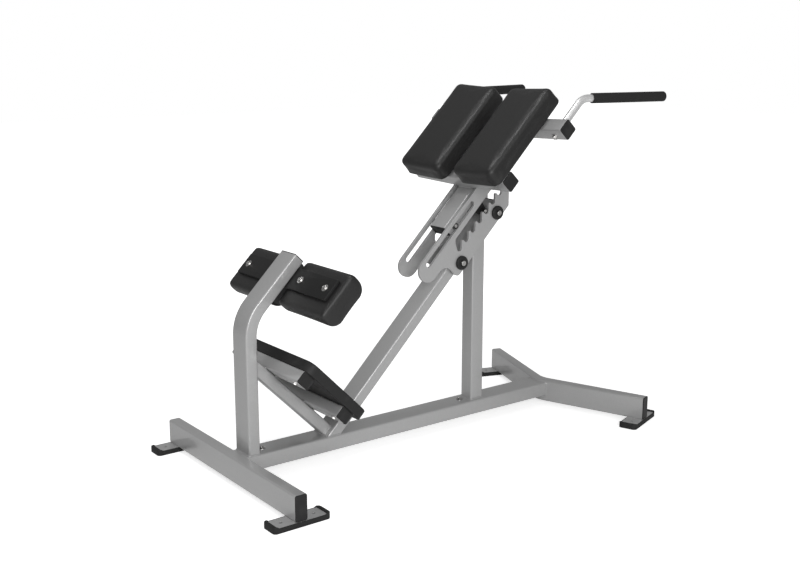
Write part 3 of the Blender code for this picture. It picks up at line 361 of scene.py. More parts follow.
def mesh_object(name: str, points: Array, faces: Sequence[Sequence[int]], sharp: float = SHARP) -> Any:
    """A mesh object at the origin, with its faces pointing out.

    Args:
        name: The piece's name.
        points: Its points in the bench's space.
        faces: Point numbers of each face of a closed surface.
        sharp: Edges that bend by more degrees than this stay sharp.

    Returns:
        The object, linked to the scene.
    """
    mesh = bpy.data.meshes.new(name)
    mesh.from_pydata(points.tolist(), [], faces)
    shell = bmesh.new()
    shell.from_mesh(mesh)
    if shell.calc_volume(signed=True) < 0:
        bmesh.ops.reverse_faces(shell, faces=shell.faces)
    shell.to_mesh(mesh)
    shell.free()
    mesh.shade_smooth()
    mesh.set_sharp_from_angle(angle=np.radians(sharp))
    return linked(name, mesh)


def skin(name: str, rings: Sequence[Array], hollow: bool = False, sharp: float = SHARP) -> Any:
    """A closed surface over rings of equal size.

    Face (i, j) joins points j and j + 1 of ring i to those of ring i + 1, and j wraps round. A hollow
    surface also joins the last ring to the first; a full one has its two end rings filled.

    Args:
        name: The piece's name.
        rings: Arrays of points in the bench's space.
        hollow: Whether the surface closes on itself.
        sharp: Edges that bend by more degrees than this stay sharp.

    Returns:
        The object.
    """
    grid = np.stack(rings)
    count, size = grid.shape[:2]
    row = np.arange(count if hollow else count - 1)[:, None] * size
    above = (row + size) % (count * size)
    column = np.arange(size)[None, :]
    after = (column + 1) % size
    quads = np.stack([row + column, row + after, above + after, above + column], axis=-1)
    faces = quads.reshape(-1, 4).tolist()
    if not hollow:
        faces.append(list(range(size))[::-1])
        faces.append(list(range((count - 1) * size, count * size)))
    return mesh_object(name, grid.reshape(-1, 3), faces, sharp)


def box_tube(name: str, place: Place, sides: Sides, ends: tuple[Height, Height]) -> Any:
    """A rectangular tube along a place's Z axis.

    The outer ring runs from one end to the other and the bore's ring runs back. Each end is a height,
    or a function of x and y where the tube is mitred or coped. The outer ring's edges are broken.

    Args:
        name: The piece's name.
        place: The tube's place.
        sides: Its outer sizes along X and Y.
        ends: Where it ends.

    Returns:
        The object.
    """
    outer, drawn, bore = tube_rings(sides)
    low, high = ends
    inwards = np.array([0, 0, BROKEN])
    rings = [raised(drawn, low), raised(outer, low) + inwards, raised(outer, high) - inwards]
    rings += [raised(drawn, high), raised(bore, high), raised(bore, low)]
    return skin(name, [place.out(ring) for ring in rings], hollow=True)


def bend_path(
    lead: float, radius: float, turn: float, tail: float, steps: int = 28
) -> tuple[Array, Array]:
    """A path in the XZ plane: up Z by lead, round towards +X, then straight on by tail.

    In the bend at angle a the path is at (radius * (1 - cos a), lead + radius * sin a), and it heads for
    (sin a, cos a).

    Args:
        lead: The first straight's length.
        radius: The bend's radius.
        turn: The bend's angle.
        tail: The last straight's length.
        steps: Steps in the bend.

    Returns:
        The path's points, and its heading's angle at each.
    """
    angle = np.concatenate([[0.0], np.linspace(0, turn, steps + 1), [turn]])
    x = radius * (1 - np.cos(angle))
    z = lead + radius * np.sin(angle)
    z[0] = 0.0
    x[-1] += tail * np.sin(turn)
    z[-1] += tail * np.cos(turn)
    return np.column_stack([x, np.zeros_like(x), z]), angle


def bent_tube(name: str, place: Place, path: tuple[Array, Array], outer: Array, bore: Array) -> Any:
    """A tube whose section is carried along a bent path, square to it.

    A section point (a, b) at heading h lies at the path's point plus a * (cos h, 0, -sin h) plus
    b * (0, 1, 0).

    Args:
        name: The piece's name.
        place: The path's place.
        path: Points and headings, from bend_path.
        outer: The section's outer ring.
        bore: Its inner ring.

    Returns:
        The object.
    """
    points, angle = path
    across = np.column_stack([np.cos(angle), np.zeros_like(angle), -np.sin(angle)])[:, None]

    def carried(ring: Array) -> Array:
        """The ring at every point of the path."""
        return points[:, None] + across * ring[None, :, :1] + np.array(Y) * ring[None, :, 1:]

    return skin(name, place.out(np.concatenate([carried(outer), carried(bore)[::-1]])), hollow=True)


def stacked(name: str, place: Place, sides: Sides, corner: float, profile: Profile) -> Any:
    """A rounded rectangle that draws in as it rises.

    Ring i is the rectangle inset by profile[i][0], at height profile[i][1], and its corners' radius is
    the first one's less the inset, but at least a tenth of it.

    Args:
        name: The piece's name.
        place: The lowest ring's place.
        sides: The full sizes along X and Y.
        corner: The corners' radius at no inset.
        profile: Insets and heights.

    Returns:
        The object.
    """
    rings = []
    for inset, height in profile:
        ring = rounded_ring(sides[0] - 2 * inset, sides[1] - 2 * inset, max(corner - inset, corner / 10))
        rings.append(place.out(raised(ring, height)))
    return skin(name, rings)


def slab_profile(thick: float, edge: float, steps: int) -> list[tuple[float, float]]:
    """Insets and heights of a slab whose lower edge is broken and whose upper edge is round.

    Args:
        thick: The slab's thickness.
        edge: The upper edge's radius; the lower edge is broken by a third of it.
        steps: Steps in the round edge.

    Returns:
        The profile.
    """
    draw, rise = round_edge(edge, steps)
    return [(edge / 3, 0.0), (0.0, edge / 3), *rows(draw, thick - edge + rise)]


def turned(name: str, place: Place, profile: Profile, hollow: bool = False, steps: int = 48) -> Any:
    """A round shape about a place's Z axis from radii and heights.

    Args:
        name: The piece's name.
        place: Its place.
        profile: Radii and heights in order.
        hollow: Whether the profile closes on itself, as a ring's does.
        steps: Steps round the axis.

    Returns:
        The object.
    """
    rings = [place.out(raised(circle_ring(radius, steps), height)) for radius, height in profile]
    return skin(name, rings, hollow=hollow)


def sleeve(name: str, place: Place, radius: float, ends: tuple[float, float]) -> Any:
    """A sleeve with broken edges on a pin.

    Args:
        name: The piece's name.
        place: The pin's place.
        radius: The sleeve's radius.
        ends: Where it starts and ends.

    Returns:
        The object.
    """
    bore, edge = 0.0063, 0.0007
    start, end = ends
    profile = [(bore, start), (radius, start), (radius, end - edge), (radius - edge, end)]
    profile += [(bore + edge, end), (bore, end - edge)]
    return turned(name, place, profile, hollow=True)


@dataclass(frozen=True)
class Fastener:
    """A hexagon head or nut on a washer, with its axis along a place's Z."""

    washer: float = 0.012
    washer_thick: float = 0.002
    flats: float = 0.013
    head_thick: float = 0.005
    dimple: float = 0.0012
    steps: int = 72

    def build(self, name: str, place: Place) -> Any:
        """The washer and the head as one turned grid, with the head's corners cut by a cone.

        Args:
            name: The piece's name.
            place: The washer's seat.

        Returns:
            The object.
        """
        edge = 0.0004
        wide, thick = self.washer, self.washer_thick
        washer = ((wide - edge, 0.0), (wide, edge), (wide, thick - edge), (wide - edge, thick))
        rings = [raised(circle_ring(radius, self.steps), height) for radius, height in washer]
        corner = self.flats / np.sqrt(3)
        top = thick + self.head_thick
        face = self.flats / 2 * 0.94
        head = ((corner, thick), (corner, top - 0.0016), (self.flats / 2 * 1.06, top - 0.0005))
        head += ((face, top), (face * 0.62, top), (face * 0.45, top - self.dimple))
        rings += [raised(hex_ring(self.flats, limit, self.steps), height) for limit, height in head]
        return skin(name, [place.out(ring) for ring in rings])


def bead(name: str, path: Array, normal: Vec, radius: float = 0.0024, closed: bool = True) -> Any:
    """A weld's bead along a path, half sunk into what it joins.

    Its section is a circle about the path, in the plane of the normal and of the normal's cross product
    with the heading. Its radius ripples by a seventh, once in each two radii of length.

    Args:
        name: The piece's name.
        path: The joint's line.
        normal: A direction square to the line, the same all along.
        radius: The bead's radius.
        closed: Whether the line closes on itself.

    Returns:
        The object.
    """
    ends = np.vstack([path, path[:1]]) if closed else path
    run = np.concatenate([[0.0], np.cumsum(np.linalg.norm(np.diff(ends, axis=0), axis=1))])
    count = max(8, int(run[-1] / (radius * 0.9)))
    share = np.linspace(0, run[-1], count, endpoint=not closed)
    line = np.column_stack([np.interp(share, run, ends[:, k]) for k in range(3)])
    step = np.roll(line, -1, axis=0) - np.roll(line, 1, axis=0) if closed else np.gradient(line, axis=0)
    heading = unit(step)
    aside = unit(np.cross(heading, unit(normal)))
    over = np.cross(aside, heading)
    ripple = radius * (1 + np.sin(share / radius * np.pi) / 7)
    angle = np.linspace(0, 2 * np.pi, 10, endpoint=False)[None, :, None]
    ring = np.cos(angle) * aside[:, None] + np.sin(angle) * over[:, None]
    return skin(name, line[:, None] + ripple[:, None, None] * ring, hollow=closed, sharp=80)


def smooth_copy(name: str, source: Any, edge: float) -> Any:
    """A mesh with its flat faces joined and its edges rounded.

    Args:
        name: The piece's name.
        source: The mesh to copy.
        edge: The rounding's width.

    Returns:
        The object.
    """
    shell = bmesh.new()
    shell.from_mesh(source)
    bmesh.ops.remove_doubles(shell, verts=shell.verts, dist=1e-5)
    bmesh.ops.dissolve_limit(shell, angle_limit=np.radians(0.5), verts=shell.verts, edges=shell.edges)
    mesh = bpy.data.meshes.new(name)
    shell.to_mesh(mesh)
    shell.free()
    made = linked(name, mesh)
    bend = np.radians(40)
    rounding = made.modifiers.new("rounding", "BEVEL")
    rounding.width = edge
    rounding.segments = 3
    rounding.limit_method = "ANGLE"
    rounding.angle_limit = bend
    rounding.harden_normals = True
    mesh.shade_smooth()
    mesh.set_sharp_from_angle(angle=bend)
    return made


def cut_plate(name: str, outlines: Sequence[Array], thick: float, place: Place, edge: float) -> Any:
    """A plate centred on a place's XY plane, from its edge's outline and its holes' outlines.

    Args:
        name: The piece's name.
        outlines: The edge, then the holes, as rings.
        thick: The plate's thickness.
        place: Its place.
        edge: The width of its round edges.

    Returns:
        The object.
    """
    drawing = bpy.data.curves.new(name, "CURVE")
    drawing.dimensions = "2D"
    drawing.fill_mode = "BOTH"
    drawing.extrude = thick / 2
    for outline in outlines:
        line = drawing.splines.new("POLY")
        line.points.add(len(outline) - 1)
        spots = np.column_stack([raised(outline, 0.0), np.ones(len(outline))])
        line.points.foreach_set("co", spots.ravel())
        line.use_cyclic_u = True
    carrier = linked(f"{name}_drawing", drawing)
    bpy.context.view_layer.update()
    flat = worked_out(carrier, f"{name}_drawing")
    bpy.data.objects.remove(carrier)
    set_coords(flat, place.out(coords(flat)))
    return smooth_copy(name, flat, edge)


class SocketExpr:
    """A number socket that can be written in an expression."""

    def __init__(self, graph: NodeGraph, socket: Any) -> None:
        """Wraps a socket of a graph."""
        self.graph = graph
        self.socket = socket

    def __add__(self, other: Any) -> SocketExpr:
        """The sum."""
        return self.graph.maths("ADD", self, other)

    __radd__ = __add__

    def __sub__(self, other: Any) -> SocketExpr:
        """The difference."""
        return self.graph.maths("SUBTRACT", self, other)

    def __rsub__(self, other: Any) -> SocketExpr:
        """The difference, the other way round."""
        return self.graph.maths("SUBTRACT", other, self)

    def __mul__(self, other: Any) -> SocketExpr:
        """The product."""
        return self.graph.maths("MULTIPLY", self, other)

    __rmul__ = __mul__

    def between(self, low: float, high: float) -> SocketExpr:
        """A smooth step.

        Args:
            low: Up to where it is 0.
            high: From where it is 1.

        Returns:
            The step.
        """
        inputs = {"Value": self, "From Min": low, "From Max": high}
        made = self.graph.node("ShaderNodeMapRange", {"interpolation_type": "SMOOTHSTEP"}, inputs)
        return SocketExpr(self.graph, made.outputs["Result"])


class NodeGraph:
    """The nodes of a new material or world, ending in its shader."""

    def __init__(self, owner: Any, shader: str = "Principled BSDF") -> None:
        """Opens the owner's nodes.

        Args:
            owner: The material or world.
            shader: The name of the shader that it starts with.
        """
        self.owner = owner
        owner.use_nodes = True
        self.tree = owner.node_tree
        self.shader = self.tree.nodes[shader]

    @cached_property
    def place(self) -> Any:
        """The object's coordinates."""
        return self.node("ShaderNodeTexCoord").outputs["Object"]

    def node(self, kind: str, settings: Values | None = None, inputs: Values | None = None) -> Any:
        """Makes any node.

        Args:
            kind: The node's type.
            settings: Attributes, set before the inputs.
            inputs: Values or links, by the socket's name or number.

        Returns:
            The node.
        """
        made = self.tree.nodes.new(kind)
        for name, value in (settings or {}).items():
            setattr(made, name, value)
        for name, value in (inputs or {}).items():
            self.feed(made.inputs[name], value)
        return made

    def feed(self, socket: Any, value: Any) -> None:
        """Links a socket or an expression to an input, or sets a value there.

        Args:
            socket: The input.
            value: What it gets.
        """
        source = value.socket if isinstance(value, SocketExpr) else value
        if isinstance(source, bpy.types.NodeSocket):
            self.tree.links.new(source, socket)
        else:
            socket.default_value = source

    def maths(self, operation: str, *values: Any) -> SocketExpr:
        """A Math node as an expression."""
        made = self.node("ShaderNodeMath", {"operation": operation}, dict(enumerate(values)))
        return SocketExpr(self, made.outputs[0])

    def vector(self, operation: str, *values: Any) -> Any:
        """A Vector Math node's vector."""
        made = self.node("ShaderNodeVectorMath", {"operation": operation}, dict(enumerate(values)))
        return made.outputs[0]

    def noise(
        self, scale: float, detail: float = 2.0, roughness: float = 0.5, vector: Any = None
    ) -> SocketExpr:
        """Noise about 0, from about -0.5 to 0.5.

        Args:
            scale: Its scale.
            detail: How many finer layers it has.
            roughness: How strong they are.
            vector: What it lies on, or the object's coordinates.

        Returns:
            The noise.
        """
        inputs = {"Vector": vector or self.place, "Scale": scale, "Detail": detail}
        made = self.node("ShaderNodeTexNoise", {}, inputs | {"Roughness": roughness})
        return SocketExpr(self, made.outputs["Fac"]) - 0.5

    def cells(self, scale: float, feature: str, vector: Any) -> SocketExpr:
        """Distances in a field of cells.

        Args:
            scale: The field's scale.
            feature: Which distance, by Blender's name.
            vector: What the field lies on.

        Returns:
            The distance.
        """
        inputs = {"Vector": vector, "Scale": scale}
        made = self.node("ShaderNodeTexVoronoi", {"feature": feature}, inputs)
        return SocketExpr(self, made.outputs["Distance"])

    def shaded(self, colour: Sequence[float], shade: SocketExpr) -> Any:
        """A colour times a number that changes over the surface."""
        inputs = {0: tuple(colour)[:3], "Scale": shade}
        return self.node("ShaderNodeVectorMath", {"operation": "SCALE"}, inputs).outputs[0]

    def blended(self, share: SocketExpr, low: Any, high: Any) -> Any:
        """A mix of two colours."""
        settings = {"data_type": "RGBA", "clamp_factor": True}
        return self.node("ShaderNodeMix", settings, {0: share, 6: low, 7: high}).outputs[2]

    def bumped(self, height: SocketExpr, depth: float, strength: float) -> None:
        """Gives the surface a relief.

        Args:
            height: The relief, about 1 deep.
            depth: The metres that a height of 1 stands for.
            strength: How much of it shows.
        """
        inputs = {"Height": height, "Distance": depth, "Strength": strength}
        made = self.node("ShaderNodeBump", {}, inputs)
        self.feed(self.shader.inputs["Normal"], made.outputs["Normal"])

    def finish(self, **values: Any) -> Any:
        """Sets the shader's sockets.

        Args:
            values: What each socket gets, by its name with _ for a space.

        Returns:
            The material or world.
        """
        for name, value in values.items():
            self.feed(self.shader.inputs[name.replace("_", " ")], value)
        return self.owner


def grey(value: float, warmth: float = 0.0) -> tuple[float, float, float, float]:
    """A grey, with its red raised and its blue lowered by a share."""
    return (value * (1 + warmth), value, value * (1 - warmth), 1.0)


@dataclass(frozen=True)
class PaintFinish:
    """Powder coat: an even colour with a fine grain and a slight orange peel."""

    name: str
    tone: float
    metal: float
    roughness: float
    grain: float
    coat: float
    level: float = 0.5

    def material(self) -> Any:
        """Builds the material.

        Returns:
            The material.
        """
        graph = NodeGraph(bpy.data.materials.new(self.name))
        fleck = graph.noise(420.0, 1.0)
        mottle = graph.noise(150.0, 3.0, 0.65)
        drift = graph.noise(5.0, 2.0)
        shade = 1.0 + fleck * self.grain + mottle * (self.grain * 1.3) + drift * (self.grain * 0.7)
        peel = graph.noise(330.0, 2.0) + graph.noise(1400.0, 1.0) * 0.35
        graph.bumped(peel, 0.00014, 0.4)
        return graph.finish(
            Base_Color=graph.shaded(grey(self.tone), shade),
            Roughness=self.roughness + mottle * 0.12,
            Metallic=self.metal,
            Coat_Weight=self.coat,
            Coat_Roughness=0.12,
            Specular_IOR_Level=self.level,
        )


@dataclass(frozen=True)
class VinylFinish:
    """Upholstery vinyl: a pebbled leather grain with painted shade darkening its creases, and a soft
    gloss.
    """

    name: str
    tone: float
    roughness: float
    pebble: float = 620.0
    relief: float = 0.00028

    def material(self) -> Any:
        """Builds the material.

        Returns:
            The material.
        """
        graph = NodeGraph(bpy.data.materials.new(self.name))
        inputs = {"Vector": graph.place, "Scale": 240.0, "Detail": 2.0}
        wander = graph.node("ShaderNodeTexNoise", {}, inputs).outputs["Color"]
        pushed = graph.vector("MULTIPLY_ADD", wander, (0.0016,) * 3, graph.place)
        pebbles = graph.cells(self.pebble, "F1", pushed)
        crease = graph.cells(self.pebble, "DISTANCE_TO_EDGE", pushed).between(0.02, 0.22)
        fine = graph.noise(2600.0, 1.0)
        handled = graph.noise(9.0, 3.0)
        height = (1.0 - pebbles) * 0.55 + crease * 0.45 + fine * 0.12
        graph.bumped(height, self.relief, 0.5)
        # painted shade: the colour is darker in the creases between the pebbles
        shade = 0.80 + crease * 0.22 + handled * 0.22 + fine * 0.1
        return graph.finish(
            Base_Color=graph.shaded(grey(self.tone, 0.01), shade),
            Roughness=self.roughness + (1.0 - crease) * 0.12 + handled * 0.1,
            Specular_IOR_Level=0.5,
        )


@dataclass(frozen=True)
class MouldedFinish:
    """Moulded plastic or rubber: a spark-eroded grain, and a dusty bloom in patches."""

    name: str
    tone: float
    roughness: float
    grain: float
    relief: float
    bloom: float

    def material(self) -> Any:
        """Builds the material.

        Returns:
            The material.
        """
        graph = NodeGraph(bpy.data.materials.new(self.name))
        pits = graph.noise(self.grain, 2.0, 0.6)
        dust = graph.noise(28.0, 3.0).between(0.02, 0.2) * self.bloom
        graph.bumped(pits, self.relief, 0.6)
        dark = graph.shaded(grey(self.tone), 1.0 + pits * 0.35)
        return graph.finish(
            Base_Color=graph.blended(dust, dark, grey(self.tone * 2.6, 0.02)),
            Roughness=self.roughness + pits * 0.12 + dust * 0.4,
            Specular_IOR_Level=0.3,
        )


@dataclass(frozen=True)
class PlatedFinish:
    """Plated steel: a bright metal with faint polishing lines and a few dull spots."""

    name: str
    tone: float
    roughness: float
    warmth: float = 0.0
    metal: float = 1.0

    def material(self) -> Any:
        """Builds the material, whose lines are noise that is stretched along Y.

        Returns:
            The material.
        """
        graph = NodeGraph(bpy.data.materials.new(self.name))
        stretched = graph.vector("MULTIPLY", graph.place, (2400.0, 300.0, 2400.0))
        lines = graph.noise(1.0, 2.0, 0.5, stretched)
        haze = graph.noise(70.0, 3.0)
        graph.bumped(lines, 0.00001, 0.06)
        return graph.finish(
            Base_Color=graph.shaded(grey(self.tone, self.warmth), 1.0 + haze * 0.1),
            Roughness=self.roughness + haze * 0.12 + lines * 0.04,
            Metallic=self.metal,
        )


@dataclass(frozen=True)
class BackingFinish:
    """The woven dust cloth under an upholstered board."""

    name: str
    tone: float
    pitch: float = 0.0011

    def material(self) -> Any:
        """Builds the material: the product of two crossed waves, one thread each pitch.

        Returns:
            The material.
        """
        graph = NodeGraph(bpy.data.materials.new(self.name))
        split = graph.node("ShaderNodeSeparateXYZ", {}, {0: graph.place})
        x, y, z = (SocketExpr(graph, socket) for socket in split.outputs)
        turns = 2 * np.pi / self.pitch
        weave = graph.maths("SINE", (x + z) * (turns * 0.7071)) * graph.maths("SINE", y * turns)
        graph.bumped(weave, 0.00015, 0.8)
        fuzz = graph.noise(600.0, 2.0)
        return graph.finish(
            Base_Color=graph.shaded(grey(self.tone), 1.0 + weave * 0.25 + fuzz * 0.4),
            Roughness=0.85 + fuzz * 0.1,
        )


class Finish(Enum):
    """The bench's finishes, each with the record's slot it belongs to."""

    SILVER = (PaintFinish("silver_powder_coat", 0.42, 0.30, 0.34, 0.10, 0.80), Slot.SILVER)
    BLACK = (PaintFinish("black_powder_coat", 0.014, 0.0, 0.46, 0.25, 0.0, 0.22), Slot.BLACK)
    PLASTIC = (MouldedFinish("black_moulded_plastic", 0.016, 0.46, 900.0, 0.00012, 0.25), Slot.PLASTIC)
    RUBBER = (MouldedFinish("black_rubber_tray", 0.016, 0.62, 700.0, 0.00018, 0.45), Slot.RUBBER)
    TREAD = (MouldedFinish("black_tread_rubber", 0.018, 0.55, 520.0, 0.0003, 0.3), Slot.RUBBER)
    GRIP = (MouldedFinish("black_grip_foam", 0.015, 0.72, 1300.0, 0.00025, 0.15), Slot.RUBBER)
    VINYL = (VinylFinish("black_upholstery_vinyl", 0.013, 0.34), Slot.VINYL)
    BACKING = (BackingFinish("black_backing_cloth", 0.014), Slot.VINYL)
    CHROME = (PlatedFinish("bright_handle_plate", 0.86, 0.38, 0.0, 0.75), Slot.PLATED)
    ZINC = (PlatedFinish("zinc_plated_steel", 0.56, 0.22, 0.015), Slot.PLATED)


class Workshop:
    """Dresses pieces and puts them on the bodies."""

    def __init__(self) -> None:
        """Builds every finish once."""
        self.materials = {finish: finish.value[0].material() for finish in Finish}
        self.count = 0

    def put(self, piece: Any, finish: Finish, body: Body, *nodes: str) -> None:
        """Dresses a piece, and makes it ride on a body and stand for nodes.

        Args:
            piece: The object.
            finish: Its finish.
            body: The body it rides on.
            nodes: The frame's nodes it replaces.
        """
        piece.data.materials.clear()
        piece.data.materials.append(self.materials[finish])
        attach(piece, body.value)
        if nodes:
            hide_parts(*nodes)
        self.count += 1
        LOG.info("%s: %s on %s", piece.name, finish.name.lower(), body.value)


@dataclass
class SubAssembly:
    """What every sub-assembly has: the layout it is measured from, its dressing shop and its body."""

    layout: Layout
    shop: Workshop
    body: Body = Body.FRAME

    @property
    def slope(self) -> Place:
        """The slope's place."""
        return self.layout.slope

    def box(self, node: str, place: Place = WORLD) -> tuple[Array, Array, Array]:
        """A node's lowest corner, highest corner and middle in a place."""
        return self.layout.bounds(node, place)

    def put(self, piece: Any, finish: Finish, *nodes: str) -> None:
        """Puts a piece on the sub-assembly's body, in the places of nodes."""
        self.shop.put(piece, finish, self.body, *nodes)

    def fasten(self, name: str, seat: Place, *nodes: str, **sizes: float) -> None:
        """A plated fastener on its seat."""
        self.put(Fastener(**sizes).build(name, seat), Finish.ZINC, *nodes)

    def end_cap(self, node: str, place: Place, sides: Sides) -> None:
        """A moulded plug on a tube's end: a round-edged face with a shallow panel, and a skirt inside.

        Args:
            node: The cap's node.
            place: The tube's end, with +Z out of it.
            sides: The tube's outer sizes along X and Y.
        """
        rim, thick, sunk, wall, edge = 0.0002, 0.0030, 0.0005, 0.0034, 0.0011
        top = GAP + thick
        draw, rise = round_edge(edge, 3)
        profile = [(wall + 0.001, -0.012), (wall, -0.010), (wall, GAP)]
        profile += [(rim + 0.0003, GAP), (rim, GAP + 0.0003), *rows(rim + draw, top - edge + rise)]
        profile += [(0.0042, top), (0.0049, top - sunk), (0.0075, top - sunk * 0.7)]
        made = stacked(node.replace("_cap", "_end_cap"), place, sides, TUBE_CORNER, profile)
        self.put(made, Finish.PLASTIC, node)

    def weld_round(self, name: str, place: Place, sides: Sides, height: Height, normal: Vec) -> None:
        """A weld round the foot of a rectangular tube.

        Args:
            name: The piece's name.
            place: The tube's place.
            sides: Its outer sizes.
            height: Where its foot is, as box_tube has it.
            normal: The direction out of the face it stands on, in the place.
        """
        line = place.out(raised(rounded_ring(*sides, TUBE_CORNER, 4, 6), height))
        self.put(bead(name, line, place.axes @ np.asarray(normal, float)), Finish.SILVER)

    def weld_line(self, name: str, place: Place, ends: Sequence[Vec], normal: Vec) -> None:
        """A weld along a straight line.

        Args:
            name: The piece's name.
            place: Where the line is measured.
            ends: Its two ends.
            normal: A direction square to it.
        """
        line = place.out(np.linspace(ends[0], ends[1], 12))
        made = bead(name, line, place.axes @ np.asarray(normal, float), closed=False)
        self.put(made, Finish.SILVER)


@dataclass
class Feet(SubAssembly):
    """The four feet: a steel plate under each stabiliser end, in a rubber tray with raised ends."""

    corner: float = 0.012
    lip_depth: float = 0.012
    lip_rise: float = 0.004
    rim: float = 0.003
    base: float = 0.0095
    plate_thick: float = 0.006
    ramp: float = 0.008
    edge: float = 0.0012
    bolt_spread: float = 0.110
    bolt_radius: float = 0.0055

    def tray(self, node: str, place: Place, length: float, width: float) -> None:
        """The rubber tray.

        Ring (s, z) lies a share s of the way from the outer edge to the pocket's wall. Its top follows
        rim height + rise * smoothstep of the distance past the ramp's foot, so that both ends stand up.

        Args:
            node: The tray's node.
            place: The foot's middle on the floor, with X along the foot.
            length: The tray's length.
            width: Its width.
        """
        rim_height = self.base + GAP + self.plate_thick
        foot = length / 2 - self.lip_depth - self.ramp

        def below_top(drop: float) -> Height:
            """The rim's height along the foot, less a drop.

            Args:
                drop: How far below the rim.

            Returns:
                The height as a function of x and y.
            """

            def level(x: Array, _: Array) -> Array:
                """The height at each x."""
                share = np.clip((np.abs(x) - foot) / self.ramp, 0, 1)
                return rim_height + self.lip_rise * share * share * (3 - 2 * share) - drop

            return level

        side, bevel, top = below_top(self.edge), below_top(self.edge * 0.35), below_top(0.0)
        heights = [(0.12, 0.0), (0.0, self.edge), (0.0, side), (0.04, bevel), (0.14, top), (0.86, top)]
        heights += [(0.96, bevel), (1.0, side), (1.0, self.base)]
        rings = []
        for share, height in heights:
            sides = (length - 2 * self.lip_depth * share, width - 2 * self.rim * share)
            ring = rounded_ring(*sides, self.corner + (self.rim - self.corner) * share, 6, 44)
            rings.append(place.out(raised(ring, height)))
        self.put(skin(node.replace("rubber", "tray"), rings), Finish.RUBBER, node)

    def build(self, node: str, along: Vec) -> None:
        """One foot, with its steel plate and the plate's two bolt holes.

        Args:
            node: The tray's node.
            along: The foot's direction.
        """
        turned_place = WORLD.at((0, 0, 0), Z, along)
        low, high, middle = self.box(node, turned_place)
        place = WORLD.at(turned_place.out((*middle[:2], 0)), Z, along)
        length, width = (high - low)[:2]
        self.tray(node, place, length, width)
        sides = (length - 2 * self.lip_depth - 2 * GAP, width - 2 * self.rim - 2 * GAP)
        hole = circle_ring(self.bolt_radius, 32)
        holes = [hole + (sign * self.bolt_spread / 2, 0) for sign in (-1, 1)]
        seat = place.at((0, 0, self.base + GAP + self.plate_thick / 2))
        outlines = [rounded_ring(*sides, self.rim), *holes]
        steel = cut_plate(node.replace("rubber", "steel"), outlines, self.plate_thick, seat, BROKEN)
        self.put(steel, Finish.SILVER)


